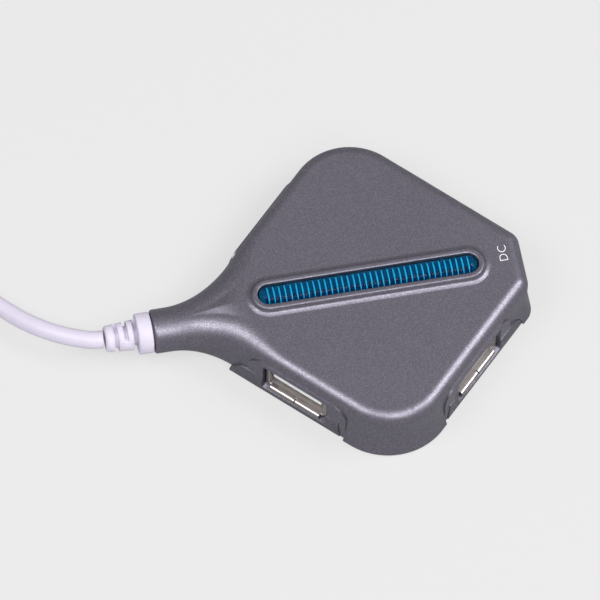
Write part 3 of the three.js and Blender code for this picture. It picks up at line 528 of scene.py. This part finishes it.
def half_plan(shape):
    """The case's plan on the +Y side from the neck's end to the middle of the DC end, as points,
    outward normals, arc lengths from the start of the flare, and the index where each stretch begins:
    neck, hollow flare, slanted side, back corner, slanted side, DC corner, DC end."""
    root2 = math.sqrt(2)
    flare_y = NECK_RADIUS + FLARE_RADIUS
    flare_x = flare_y - root2 * (SIDE + FLARE_RADIUS)
    corner_y = root2 * (SIDE - shape.corner_radius)
    dc_x = DC_END - shape.dc_radius
    dc_y = root2 * (SIDE - shape.dc_radius) - dc_x
    neck_x = np.linspace(NECK_END, flare_x, NECK_STEPS + 1)[:-1]
    neck = np.c_[neck_x, np.full(NECK_STEPS, NECK_RADIUS)]
    flare = arc_points(flare_x, flare_y, FLARE_RADIUS, -90, -45, FLARE_STEPS)
    back = arc_points(0, corner_y, shape.corner_radius, 135, 45, BACK_STEPS)
    dc = arc_points(dc_x, dc_y, shape.dc_radius, 45, 0, DC_STEPS)
    t = np.linspace(0, 1, 26)[1:-1, None]
    side = flare[-1] + (back[0] - flare[-1]) * t
    far_side = back[-1] + (dc[0] - back[-1]) * t
    end = dc[-1] + (np.array([DC_END, 0.0]) - dc[-1]) * np.linspace(0, 1, 8)[1:, None]
    stretches = [neck, flare, side, back, far_side, dc, end]
    points = np.vstack(stretches)
    slant = math.sqrt(0.5)

    def normals(kind, count):
        return np.repeat(np.array([kind], float), count, 0)

    directions = np.vstack(
        [
            normals((0, 1), NECK_STEPS),
            -arc_points(0, 0, 1, -90, -45, FLARE_STEPS),
            normals((-slant, slant), len(side)),
            arc_points(0, 0, 1, 135, 45, BACK_STEPS),
            normals((slant, slant), len(far_side)),
            arc_points(0, 0, 1, 45, 0, DC_STEPS),
            normals((1, 0), len(end)),
        ]
    )
    lengths = np.r_[0, np.cumsum(np.linalg.norm(np.diff(points, axis=0), axis=1))]
    starts = np.cumsum([0] + [len(s) for s in stretches])
    lengths -= lengths[starts[1]]
    return points, directions, lengths, starts


def slot_outline(count, grow):
    """Half of a slot around the light bar, grown outwards, from its neck end to its DC end: a quarter
    turn, a straight run and a quarter turn, on the +Y side."""
    radius = LENS_RADIUS + grow
    straight = LENS_LENGTH / 2 - LENS_RADIUS
    left = arc_points(LENS_CENTRE - straight, 0, radius, 180, 90, count[0])
    x = np.linspace(LENS_CENTRE - straight, LENS_CENTRE + straight, count[1] + 2)[1:-1]
    right = arc_points(LENS_CENTRE + straight, 0, radius, 90, 0, count[0])
    return np.vstack([left, np.c_[x, np.full(len(x), radius)], right])


def case_skin(shape, inset=0.0, ceiling=None):
    """The outer case as a closed skin. Around it runs the plan. Across it, each plan point carries a
    profile: the underside's quarter ellipse, a wall that spreads at the bottom by the square of the
    height left to the skirt's top, a quarter ellipse to the top, and then a straight run to the light
    bar's slot. Towards the neck both ellipses grow until they are the neck's circle. An inset skin is
    the same shape offset inwards, with a flat top at the ceiling."""
    plan, normal, length, starts = half_plan(shape)
    n = len(plan)
    flare_end = length[starts[2]]
    w = smooth_step(length / (flare_end + 7.0))
    radius = plan[:, 1].copy()
    radius[starts[3] :] = 30.0
    top_limit = (BODY_HEIGHT if ceiling is None else ceiling) - NECK_AXIS
    soft = 1.3

    def least(value, limit):
        low = -np.log(np.exp(-soft * value) + np.exp(-soft * limit)) / soft
        return low + (limit - low) * smooth_step((value - 8) / 4)

    reach = radius - inset
    blend = smooth_step(length / 3.0)
    top = (NECK_AXIS + reach) * (1 - blend) + (NECK_AXIS + least(reach, top_limit)) * blend
    low = NECK_AXIS - (reach * (1 - blend) + least(reach, NECK_AXIS - inset) * blend)
    if ceiling is not None:
        low = np.minimum(low, low * (1 - w) - 3.0 * w)
    round_top = shape.top_round - inset if ceiling is None else ROOM_ROUND
    across_top = reach * (1 - w) + round_top * w
    shoulder = NECK_AXIS * (1 - w) + (NECK_AXIS + top_limit - round_top) * w
    across_low = reach * (1 - w)
    foot = NECK_AXIS * (1 - w) + low * w
    profile_inset, profile_z = [], []
    for a in np.radians(np.linspace(90, 0, UNDER_STEPS)):
        profile_inset.append(across_low * (1 - math.cos(a)))
        profile_z.append(foot - (foot - low) * math.sin(a))
    for t in np.linspace(0, 1, WALL_STEPS)[1:]:
        profile_inset.append(np.zeros(n))
        profile_z.append(foot + (shoulder - foot) * t)
    for a in np.radians(np.linspace(0, 90, TOP_STEPS)[1:]):
        profile_inset.append(across_top * (1 - math.cos(a)))
        profile_z.append(shoulder + (top - shoulder) * math.sin(a))
    into = np.array(profile_inset)
    z = np.array(profile_z)
    up = np.clip(1 - z / shape.skirt_height, 0, 1)
    flare = shape.skirt_flare * up**2 * w**2
    offset = into + inset - flare
    wall = plan[None] - normal[None] * offset[..., None]
    wall = np.concatenate([wall, z[..., None]], axis=-1)
    return wall, starts


def level_run(start, end, height):
    """Rows of points that go evenly from one line to another in plan, each point at its own height."""
    steps = np.linspace(0, 1, FLAT_STEPS)[:, None, None]
    run = np.zeros((FLAT_STEPS, len(start), 3))
    run[..., :2] = start[None] * (1 - steps) + end[None] * steps
    run[..., 2] = height
    return run


def case_object(name, shape, inset=0.0, ceiling=None):
    """The skin closed into one solid: over the top to the rim or a flat ceiling, under the bottom to
    the middle line, across the neck's end, and mirrored to the -Y side."""
    wall, starts = case_skin(shape, inset, ceiling)
    first, last = wall[0], wall[-1]
    a, b = starts[2], starts[5]
    tip = slot_outline(SLOT_STEPS, rim_reach(shape, RIM_GROW[0]))
    # The straight run over the top: neck and flare meet the middle line, the sides meet the slot.
    n = len(last)
    target = np.zeros((n, 2))
    x = last[:, 0].copy()
    share = (x[:a] - NECK_END) / max(x[a] - NECK_END, 1e-6)
    target[:a, 0] = NECK_END + share * (tip[0, 0] - NECK_END)
    neck = starts[1]
    target[:neck, 0] = x[:neck]
    ease = smooth_step(np.linspace(0, 1, a - neck + 1)[:-1])
    target[neck:a, 0] = x[neck:a] * (1 - ease) + target[neck:a, 0] * ease
    along = np.r_[0, np.cumsum(np.linalg.norm(np.diff(tip, axis=0), axis=1))]
    along /= along[-1]
    path = np.linspace(0, 1, b - a + 1)
    for axis in (0, 1):
        target[a : b + 1, axis] = np.interp(path, along, tip[:, axis])
    target[b + 1 :, 0] = tip[-1, 0]
    flat = level_run(last[:, :2], target, last[:, 2])
    spine = np.c_[np.minimum(first[:, 0], tip[-1, 0]), np.zeros(n)]
    under = level_run(spine, first[:, :2], first[:, 2])
    side = np.concatenate([under[:-1], wall, flat[1:]])
    parts = [side]
    inner = np.c_[target[a : b + 1], last[a : b + 1, 2]]
    if ceiling is None:
        parts.append(rim_grid(shape, target[a : b + 1], path, along))
        inner = parts[-1][-1]
    parts.append(np.stack([inner, inner * (1, 0, 1)]))
    # The neck's end: a rounded edge, then a flat disc.
    ring = side[:, 0]
    edges = []
    centre = np.array([NECK_END, 0.0, NECK_AXIS])
    for t in np.radians(np.linspace(90, 0, 7)):
        scale = 1 - 0.12 * (1 - math.sin(t))
        edge = centre + (ring - centre) * scale
        edge[:, 0] = NECK_END - NECK_ROUND * math.cos(t)
        edges.append(edge)
    edges.append(np.repeat((centre - (NECK_ROUND, 0, 0))[None], len(ring), 0))
    if inset == 0:
        side[:, :NECK_STEPS, 0] += np.linspace(NECK_ROUND, 0, NECK_STEPS)[None]
        for edge in edges:
            edge[:, 0] += NECK_ROUND
    parts.append(np.stack(edges))
    return surfaces(name, [grid for part in parts for grid in (part, part * (1, -1, 1))])


def rim_reach(shape, step):
    return step * (shape.rim_width + LENS_GAP) / RIM_WRITTEN


def rim_grid(shape, start, path, along):
    """The light bar's rim: from the slot grown by the swell's reach the top bends up into a steepening
    slope, then a steep wall, a flat ring with eased edges, and an inner wall down into the case."""
    heights = [BODY_HEIGHT + value * shape.rim_height for value in RIM_LIFT]
    heights += [heights[-1] - 0.1, BODY_HEIGHT - 1.0, BODY_HEIGHT - 3.4]
    rows = []
    for step, height in zip((*RIM_GROW, LENS_GAP, LENS_GAP, LENS_GAP), heights):
        outer = slot_outline(SLOT_STEPS, rim_reach(shape, step) if step > LENS_GAP else step)
        plan = [np.interp(path, along, outer[:, axis]) for axis in (0, 1)]
        rows.append(np.c_[plan[0], plan[1], np.full(len(path), height)])
    rows[0][:, :2] = start
    return np.stack(rows)


def face_outline(corner, below=0.0):
    """The flat face that frames a socket, as (along, height). It can reach below the underside."""
    high = FACE_HEIGHT - FACE_ROUND
    points = np.vstack(
        [
            [[-FACE_NEAR, -below], [FACE_FAR, -below]],
            arc_points(FACE_FAR - FACE_ROUND, high, FACE_ROUND, 0, 90, 14),
            arc_points(-FACE_NEAR + FACE_ROUND, high, FACE_ROUND, 90, 180, 14),
        ]
    )
    return points * (corner, 1)


def step_outline(corner):
    """The bottom cover's step beside a socket, as (along, height), with the gap around it."""
    high, near, far = STEP_HEIGHT + GAP, STEP_NEAR + GAP, STEP_FAR + GAP
    points = np.vstack(
        [
            [[far + STEP_NOTCH / 2, -0.4], [far, high - STEP_NOTCH], [far, high]],
            arc_points(high - near, 0, high, 90, 180, 14),
            [[-near, -0.4]],
        ]
    )
    return points * (corner, 1)


def rounded_box_outline(width, height, radius, count=5):
    x, y = width / 2 - radius, height / 2 - radius
    return np.vstack(
        [
            arc_points(x, -y, radius, -90, 0, count),
            arc_points(x, y, radius, 0, 90, count),
            arc_points(-x, y, radius, 90, 180, count),
            arc_points(-x, -y, radius, 180, 270, count),
        ]
    )


def mouth_cutter(name, turn):
    outline = rounded_box_outline(MOUTH_WIDTH, MOUTH_HEIGHT, MOUTH_ROUND) + (0, SOCKET_CENTRE)
    return prism_object(name, outline, SIDE - 2.6, STEP_FACE + 1.5, turn)


class HUB_OT_case(bpy.types.Operator):
    """Builds the painted top cover, and the bottom cover in the same paint darkened as painted shade"""

    bl_idname = "hub.case"
    bl_label = "Case"

    def execute(self, context):
        shape = context.scene.hub_shape
        body = case_object("case_top", shape)
        room = case_object("room", shape, inset=WALL, ceiling=BODY_HEIGHT - WALL)
        faces, skirts, steps, mouths = [], [], [], []
        for tag, turn, corner in SOCKETS:
            faces.append(prism_object("face_" + tag, face_outline(corner), SIDE - 1.5, FACE, turn))
            skirts.append(prism_object("skirt_" + tag, face_outline(corner, 0.5), FACE, FACE + 2, turn))
            skirts.append(prism_object("hem_" + tag, step_outline(corner), FACE, FACE + 2, turn))
            steps.append(prism_object("gap_" + tag, step_outline(corner), SIDE - 3, FACE + 1, turn))
            mouths.append(mouth_cutter("mouth_" + tag, turn))
        bore = rod_object("bore", NECK_END - 1, NECK_END + BORE_LENGTH, BORE_RADIUS, NECK_AXIS)
        inlet = rod_object("inlet", 26, 32, INLET_RADIUS, INLET_HEIGHT)
        combine(body, skirts, "DIFFERENCE")
        combine(body, faces, "UNION")
        combine(body, [room, bore, inlet, *steps, *mouths], "DIFFERENCE")
        merge(body, 1e-6, outward=False)
        smooth_edges(body)
        settle(body, "paint", ["top_cover"])
        remove([room, bore, inlet, *faces, *skirts, *steps, *mouths])
        # The bottom cover: the top's paint, made darker as painted shade.
        refined("bottom_cover", "case_bottom", "shaded_case_paint", 0.1, 2, 40)
        return {"FINISHED"}


# ---- light bar ----


class HUB_OT_light_bar(bpy.types.Operator):
    """Builds the clear blue light bar and the ribs inside it"""

    bl_idname = "hub.light_bar"
    bl_label = "Light bar"

    def execute(self, context):
        shape = context.scene.hub_shape
        shoulder = BODY_HEIGHT + shape.rim_height - CROWN_SINK
        # Crown: slots that shrink as the cosine of an angle while they rise as its sine.
        rows = [(0.0, shoulder - 1.6), (0.0, shoulder - 0.4)]
        for a in np.radians(np.linspace(0, 90, 16)):
            rows.append((LENS_RADIUS * (1 - math.cos(a)), shoulder + CROWN_RISE * math.sin(a)))
        grids = []
        for sign in (1, -1):
            levels = []
            for shrink, height in rows:
                half = slot_outline((16, 60), -min(shrink, LENS_RADIUS - 1e-4))
                levels.append(np.c_[half[:, 0], sign * half[:, 1], np.full(len(half), height)])
            grid = np.stack(levels)
            base = grid[0].copy()
            base[:, 1] = 0.0
            grids.append(np.concatenate([base[None], grid]))
        crown = surfaces("light_bar", grids)
        smooth_edges(crown, 60)
        settle(crown, "lens", ["light_lens"])
        self.ribs(shape, shoulder)
        return {"FINISHED"}

    def ribs(self, shape, shoulder):
        """Ribs: thin half-round plates across the bar at one pitch, standing on a tray whose front half
        carries a dark sheet of painted shade.
        """
        span = LENS_LENGTH - 2 * RIB_MARGIN
        centres = np.linspace(-span / 2, span / 2, shape.rib_count) + LENS_CENTRE
        a = np.radians(np.linspace(0, 180, 13))
        arc = np.c_[RIB_REACH * np.cos(a), shoulder - RIB_SINK + RIB_RISE * np.sin(a)]
        n = len(arc)
        points, faces = [], []
        for i, x in enumerate(centres):
            for side in (-RIB_HALF, RIB_HALF):
                points.append(np.c_[np.full(n, x + side), arc])
            faces += prism_faces(n, 2 * n * i)
        ribs = merge(mesh_object("light_bar_ribs", to_frame(np.vstack(points)), faces, smooth=False))
        settle(ribs, "ribs")
        half = slot_outline((12, 8), -0.15)
        outline = np.vstack([half, half[::-1] * (1, -1)])
        keep = np.r_[True, np.linalg.norm(np.diff(outline, axis=0), axis=1) > 1e-6]
        low, high = shoulder - TRAY_LOW, shoulder - TRAY_TOP
        tray = prism_object("light_bar_tray", outline[keep][:-1], low, high)
        settle(tray, "tray")
        # A dark sheet over the tray's front half: painted shade that darkens the front half of the bar.
        reach = LENS_LENGTH / 2 - SHADE_SHEET_MARGIN
        front, back = SHADE_SHEET_FRONT, SHADE_SHEET_BACK
        strip = np.array([(-reach, front), (reach, front), (reach, back), (-reach, back)])
        strip += (LENS_CENTRE, 0)
        painted_shade_sheet = prism_object("light_bar_painted_shade", strip, high, shoulder - SHADE_SHEET_TOP)
        settle(painted_shade_sheet, "painted_shade_sheet")


# ---- sockets ----


def lip_object(name, turn, start, end, thick=0.28, drop=0.95):
    """Half of a shell's flared lower lip: a strip that leaves the shell's floor level, bends down
    through a quarter circle and ends in front of the sill, at one thickness."""
    level = SOCKET_CENTRE - SHELL_HALF + 0.02
    bend = np.radians(np.linspace(90, 0, 9))
    front, radius = STEP_FACE - 0.1, 0.6
    upper = np.c_[front - radius + radius * np.cos(bend), level - radius + radius * np.sin(bend)]
    inner = radius - thick
    lower = np.c_[front - radius + inner * np.cos(bend), level - radius + inner * np.sin(bend)]
    tip = [[front, level - drop], [front - thick, level - drop]]
    root = front - 1.4
    outline = np.vstack([[[root, level]], upper, tip, lower[::-1], [[root, level - thick]]])
    n = len(outline)
    ends = side_points(np.vstack([np.c_[np.full(n, x), outline] for x in (start, end)]), turn)
    lip = merge(mesh_object(name, to_frame(ends), prism_faces(n), smooth=False))
    soften(lip, 0.08, 2)
    return lip


class HUB_OT_sockets(bpy.types.Operator):
    """Finishes the four sockets: plated shells, white tongues and gold contacts"""

    bl_idname = "hub.sockets"
    bl_label = "Sockets"

    def execute(self, context):
        for tag, turn, _ in SOCKETS:
            refined("socket_shell_" + tag, "shell_" + tag, "steel", 0.12, 3)
            refined("socket_tongue_" + tag, "tongue_" + tag, "tongue", 0.1)
            for i in range(1, 5):
                dress(f"socket_contact_{tag}_{i}", "gold")
            for end, start in ((-0.08, -5.75), (5.75, 0.08)):
                lip = lip_object(f"socket_lip_{tag}_{'a' if start < 0 else 'b'}", turn, start, end)
                settle(lip, "steel")
        return {"FINISHED"}


class HUB_OT_inside(bpy.types.Operator):
    """Finishes the circuit board and its parts, the inlet, the screws, the feet and the wires"""

    bl_idname = "hub.inside"
    bl_label = "Inside parts"

    def execute(self, context):
        plain = {
            "board": ("circuit_board",),
            "black": ("hub_chip", "wire_4"),
            "bright": ("crystal", "dc_jack_pin"),
            "can": ("capacitor",),
            "lamp": ("led_1", "led_2", "led_3"),
            "wire_red": ("wire_1",),
            "wire_white": ("wire_2",),
            "wire_green": ("wire_3",),
        }
        for finish, nodes in plain.items():
            for node in nodes:
                dress(node, finish)
        refined("dc_jack_housing", "inlet_housing", "black", 0.12)
        for i in (1, 2):
            refined(f"case_screw_{i}", f"screw_{i}", "bright", 0.08)
        for i in range(1, 5):
            refined(f"rubber_foot_{i}", f"foot_{i}", "rubber", 0.12)
        return {"FINISHED"}


# ---- cable ----

# The cable's route in mm: x and y in the case's frame, z above the table.
LEAD = (
    (-52.9, 0, 6.1), (-54.8, 0.2, 6.1), (-57, 0.95, 6), (-60.3, 2.5, 5.7),
    (-63.9, 4.9, 5.1), (-67.5, 8.2, 4.2), (-71.2, 12.4, 3.3), (-75.1, 16.8, 2.6),
    (-79.4, 20.9, 2.2), (-84.1, 24.3, 2.2), (-88.9, 27, 2.3), (-94.1, 28.8, 2.5),
)
TAIL = (
    (-127.9, 23.5, 6.05), (-131.9, 22, 5.7), (-135.4, 19.5, 5.1), (-137.9, 16, 4.5),
    (-139.2, 12, 4.3),
)
COIL_CENTRE = (-108.0, 8.0)
COIL_START = 56.25  # degrees about its centre where the winding begins
# Where the winding changes lane: degrees wound, radius, height.
LANES = np.array(
    [
        (0, 25.02, 2.5), (100, 24.75, 2.55), (140, 21.25, 2.55), (420, 21.25, 2.55),
        (460, 17.75, 2.55), (740, 17.75, 2.55), (780, 17.75, 6.05), (1060, 17.75, 6.05),
        (1100, 21.25, 6.05), (1420, 21.25, 6.05), (1460, 24.75, 6.05), (1525.85, 25.22, 6.05),
    ]
)


def cable_route():
    """The cable's centreline: out of the strain relief and down to the table, four neat turns in two
    layers of two, and off to the plug. Within the coil, radius and height ease from one lane to the
    next as a smooth step of the angle wound."""
    angle = np.linspace(0, LANES[-1, 0], 150)
    lane = np.clip(np.searchsorted(LANES[:, 0], angle, side="right") - 1, 0, len(LANES) - 2)
    before, after = LANES[lane], LANES[lane + 1]
    t = smooth_step((angle - before[:, 0]) / (after[:, 0] - before[:, 0]))
    radius = before[:, 1] + (after[:, 1] - before[:, 1]) * t
    height = before[:, 2] + (after[:, 2] - before[:, 2]) * t
    turn = np.radians(COIL_START + angle)
    coil = np.c_[
        COIL_CENTRE[0] + radius * np.cos(turn), COIL_CENTRE[1] + radius * np.sin(turn), height
    ]
    return np.vstack([LEAD[:-1], coil[:-3], TAIL[1:]])


def resample(points, count):
    """Points at equal steps along a Catmull-Rom curve through the given points."""
    p = np.vstack([2 * points[0] - points[1], points, 2 * points[-1] - points[-2]])
    t = np.linspace(0, 1, 24, endpoint=False)[:, None]
    a, b, c, d = p[:-3, None], p[1:-2, None], p[2:-1, None], p[3:, None]
    curve = 0.5 * (
        2 * b + (c - a) * t + (2 * a - 5 * b + 4 * c - d) * t**2 + (3 * b - a - 3 * c + d) * t**3
    )
    curve = np.vstack([curve.reshape(-1, 3), points[-1]])
    along = np.r_[0, np.cumsum(np.linalg.norm(np.diff(curve, axis=0), axis=1))]
    even = np.linspace(0, along[-1], count)
    return np.stack([np.interp(even, along, curve[:, i]) for i in range(3)], axis=-1), along[-1]


def tube_grid(line, radius):
    """A round tube on a line: at each point a circle across the tangent, turned as little as possible
    from the circle before, which an upright reference gives here."""
    tangent = np.gradient(line, axis=0)
    tangent /= np.linalg.norm(tangent, axis=1)[:, None]
    sideways = np.cross(tangent, (0.0, 0.0, 1.0))
    sideways /= np.linalg.norm(sideways, axis=1)[:, None]
    upward = np.cross(sideways, tangent)
    a = np.linspace(0, 2 * np.pi, TUBE_POINTS, endpoint=False)
    ring = sideways[:, None] * np.cos(a)[None, :, None] + upward[:, None] * np.sin(a)[None, :, None]
    return line[:, None] + ring * radius


class HUB_OT_cable(bpy.types.Operator):
    """Builds the cable with its coil, the tie, the strain relief and the plug"""

    bl_idname = "hub.cable"
    bl_label = "Cable"

    def execute(self, context):
        shape = context.scene.hub_shape
        line, length = resample(cable_route(), 1500)
        tube = tube_grid(line, shape.cable_diameter / 2 / MM)
        ends = [np.repeat(end[:, None], TUBE_POINTS, 1) for end in (line[:1], line[-1:])]
        cable = surfaces("cable", [np.concatenate([ends[0], tube, ends[1]])], closed=True, height=0.0)
        smooth_edges(cable, 60)
        settle(cable, "sheath", ["cable_lead", "cable_coil", "cable_tail"])
        refined("strain_relief", "relief", "relief", 0.14, 2, 40)
        tie = refined("cable_tie", "tie", "tie", 0.15)
        pieces = [
            refined("plug_grip", "grip", "relief", 0.3, 3),
            refined("plug_shell", "plug_sleeve", "steel", 0.08),
            refined("plug_core", "plug_tongue", "tongue", 0.08),
        ]
        pieces += [dress(f"plug_contact_{i}", "gold") for i in range(1, 5)]
        return {"FINISHED"}


# ---- lettering ----


class HUB_OT_lettering(bpy.types.Operator):
    """Prints the letters DC beside the inlet"""

    bl_idname = "hub.lettering"
    bl_label = "Lettering"

    def execute(self, context):
        data = bpy.data.curves.new("dc_letters", "FONT")
        data.body = "DC"
        data.size = LETTER_SIZE * MM
        data.extrude = INK * MM
        data.offset = -0.035 * MM
        data.space_character = 1.1
        text = bpy.data.objects.new("dc_letters_text", data)
        context.scene.collection.objects.link(text)
        mesh = bpy.data.meshes.new_from_object(text.evaluated_get(context.evaluated_depsgraph_get()))
        bpy.data.objects.remove(text)
        place = Matrix.Translation(Vector(to_frame([(*LETTER_PLACE, BODY_HEIGHT + INK)])[0]))
        mesh.transform(place @ Matrix.Rotation(math.radians(90), 4, "Z"))
        letters = bpy.data.objects.new("dc_letters", mesh)
        context.scene.collection.objects.link(letters)
        settle(letters, "letters")
        return {"FINISHED"}


# ---- stage ----


def pale_surface(name, colour):
    """A surface seen at its written colour by the camera, mirrors and glass, less part of its shadow."""
    material, tree, shader, _ = new_material(name, None)
    feed(shader, {"Base Color": (*colour, 1), "Roughness": 0.9})
    rays = add_node(tree, "LightPath").outputs
    dimming = maths(tree, "MULTIPLY", rays["Is Glossy Ray"], MIRROR_DIMMING)
    strength = maths(tree, "SUBTRACT", 1.0, dimming)
    glow = add_node(tree, "Emission", {"Color": (*colour, 1), "Strength": strength})
    seen = maths(tree, "ADD", rays["Is Camera Ray"], rays["Is Glossy Ray"], clamp=True)
    seen = maths(tree, "ADD", seen, rays["Is Transmission Ray"], clamp=True)
    share = maths(tree, "MULTIPLY", seen, SHOWN_SHARE)
    mix = add_node(tree, "MixShader", {0: share, 1: shader.outputs[0], 2: glow.outputs[0]})
    feed(tree.nodes["Material Output"], {"Surface": mix.outputs[0]})
    return material


class HUB_OT_stage(bpy.types.Operator):
    """Places the camera, the lamps, the floor and the room's light"""

    bl_idname = "hub.stage"
    bl_label = "Stage"

    def execute(self, context):
        stage = context.scene.hub_stage
        self.camera(context, stage)
        corners = np.array([(-8, -8, 0), (8, -8, 0), (8, 8, 0), (-8, 8, 0)], float)
        floor = mesh_object("floor", corners, [(0, 1, 2, 3)], smooth=False)
        floor.data.materials.append(pale_surface("Pale floor", tuple(stage.floor)))
        self.lamps(context, stage)
        world = bpy.data.worlds.new("Pale room")
        context.scene.world = world
        world.use_nodes = True
        back = world.node_tree.nodes["Background"]
        feed(back, {"Color": (*stage.floor, 1), "Strength": stage.sky})
        return {"FINISHED"}

    def camera(self, context, stage):
        """Right, up and forward are the axes of a camera swung about the hub, raised and rolled."""
        e, swing, roll = stage.elevation, stage.swing, stage.roll
        right = Vector((math.cos(swing), -math.sin(swing), 0))
        up = Vector((math.sin(e) * math.sin(swing), math.sin(e) * math.cos(swing), math.cos(e)))
        ahead = Vector((math.cos(e) * math.sin(swing), math.cos(e) * math.cos(swing), -math.sin(e)))
        eye = right * stage.pan[0] + up * stage.pan[1] - ahead * stage.distance
        rolled_right = right * math.cos(roll) + up * math.sin(roll)
        rolled_up = up * math.cos(roll) - right * math.sin(roll)
        data = bpy.data.cameras.new("camera")
        data.sensor_width = SENSOR_WIDTH
        data.lens = stage.focus / IMAGE_WIDTH * SENSOR_WIDTH
        data.clip_end = 50.0
        camera = bpy.data.objects.new("camera", data)
        turn = Matrix((rolled_right, rolled_up, -ahead)).transposed()
        place = Matrix.Translation(Vector(to_frame([tuple(eye)])[0]))
        camera.matrix_world = place @ turn.to_4x4()
        context.scene.collection.objects.link(camera)
        context.scene.camera = camera
        context.scene.view_settings.view_transform = "Standard"

    def lamps(self, context, stage):
        for name, place, share in LAMPS:
            data = bpy.data.lights.new(name, "AREA")
            data.energy = stage.key_power * share
            data.size = LAMP_SIZE
            lamp = bpy.data.objects.new(name, data)
            lamp.location = place
            aim = Vector((0, 0, 0)) - Vector(place)
            lamp.rotation_euler = aim.to_track_quat("-Z", "Y").to_euler()
            context.scene.collection.objects.link(lamp)


# ---- finishes ----


PLATED = (
    ("gold", "Gold contact", (0.86, 0.62, 0.25), 0.3),
    ("bright", "Bright metal", (0.6, 0.6, 0.6), 0.3),
    ("can", "Aluminium can", (0.5, 0.52, 0.56), 0.35),
)
MOULDED = (
    ("board", "Board lacquer", (0.02, 0.11, 0.05), 0.35),
    ("black", "Black plastic", (0.012, 0.012, 0.014), 0.5),
    ("lamp", "Lamp resin", (0.8, 0.85, 0.9), 0.25),
    ("wire_red", "Red wire", (0.5, 0.02, 0.02), 0.45),
    ("wire_white", "White wire", (0.75, 0.75, 0.75), 0.45),
    ("wire_green", "Green wire", (0.03, 0.25, 0.06), 0.45),
    ("tie", "Tie plastic", (0.02, 0.02, 0.024), 0.6),
)


class HUB_OT_finishes(bpy.types.Operator):
    """Makes the shader groups and the materials"""

    bl_idname = "hub.finishes"
    bl_label = "Finishes"

    def execute(self, context):
        colours = context.scene.hub_colours
        FINISHES["flakes"] = flake_group()
        FINISHES["grain"] = grain_group()
        FINISHES["paint"] = metallic_paint("Metallic grey paint", colours.paint, colours.flake)
        # The bottom cover wears the top's paint, made darker here as painted shade.
        lower = shade(colours.paint, 0.85)
        FINISHES["shaded_case_paint"] = metallic_paint("Lower case paint with painted shade", lower, colours.flake)
        FINISHES["lens"] = clear_lens("Blue lens", colours.lens)
        # The ribs and the tray glow though they are no lamp: painted light standing in for light that
        # falls into the bar. The tray's lighter blue is the bar's painted lit back half.
        rib_painted_light, tray_painted_light = (colours.ribs, 0.42), ((0.017, 0.115, 0.20), 0.22)
        FINISHES["ribs"] = moulded("Lens ribs", colours.ribs, 0.8, specular=0.0, glow=rib_painted_light)
        tray = (0.017, 0.105, 0.19)
        FINISHES["tray"] = moulded("Lens tray", tray, 0.8, specular=0.0, glow=tray_painted_light)
        # Painted shade: the dark sheet on the tray's front half.
        FINISHES["painted_shade_sheet"] = moulded("Lens painted shade", (0.013, 0.052, 0.12), 0.8, specular=0.0)
        FINISHES["steel"] = plated("Nickel plate", colours.steel, 0.36)
        FINISHES["tongue"] = moulded("White nylon", colours.tongue, 0.45)
        FINISHES["rubber"] = moulded("Foot rubber", (0.015, 0.015, 0.016), 0.85, 0.00004)
        FINISHES["sheath"] = moulded("Cable sheath", colours.sheath, 0.42, spread=0.05)
        FINISHES["relief"] = moulded("Relief rubber", colours.sheath, 0.5, 0.00003, spread=0.06)
        FINISHES["letters"] = moulded("Printed ink", colours.letters, 0.55)
        for make, table in ((plated, PLATED), (moulded, MOULDED)):
            for key, name, colour, roughness in table:
                FINISHES[key] = make(name, colour, roughness)
        return {"FINISHED"}


class HUB_PT_panel(bpy.types.Panel):
    """Shows the settings and a button for every operator"""

    bl_idname = "HUB_PT_panel"
    bl_label = "USB hub"
    bl_space_type = "VIEW_3D"
    bl_region_type = "UI"
    bl_category = "USB hub"

    def draw(self, context):
        for group in (context.scene.hub_shape, context.scene.hub_colours, context.scene.hub_stage):
            box = self.layout.box()
            for name in group.__annotations__:
                box.prop(group, name)
        for operator in OPERATORS:
            self.layout.operator(operator.bl_idname)


OPERATORS = (
    HUB_OT_finishes,
    HUB_OT_stage,
    HUB_OT_cable,
    HUB_OT_case,
    HUB_OT_light_bar,
    HUB_OT_sockets,
    HUB_OT_inside,
    HUB_OT_lettering,
)
CLASSES = (HubShape, HubColours, HubStage, *OPERATORS, HUB_PT_panel)


def register():
    for kind in CLASSES:
        bpy.utils.register_class(kind)
    bpy.types.Scene.hub_shape = bpy.props.PointerProperty(type=HubShape)
    bpy.types.Scene.hub_colours = bpy.props.PointerProperty(type=HubColours)
    bpy.types.Scene.hub_stage = bpy.props.PointerProperty(type=HubStage)


def unregister():
    for name in ("hub_shape", "hub_colours", "hub_stage"):
        delattr(bpy.types.Scene, name)
    for kind in reversed(CLASSES):
        bpy.utils.unregister_class(kind)


def main():
    register()
    bpy.ops.hub.finishes()
    bpy.ops.hub.stage()
    bpy.ops.hub.cable()
    bpy.ops.hub.case()
    bpy.ops.hub.light_bar()
    bpy.ops.hub.sockets()
    bpy.ops.hub.inside()
    bpy.ops.hub.lettering()


if __name__ == "__main__":
    main()
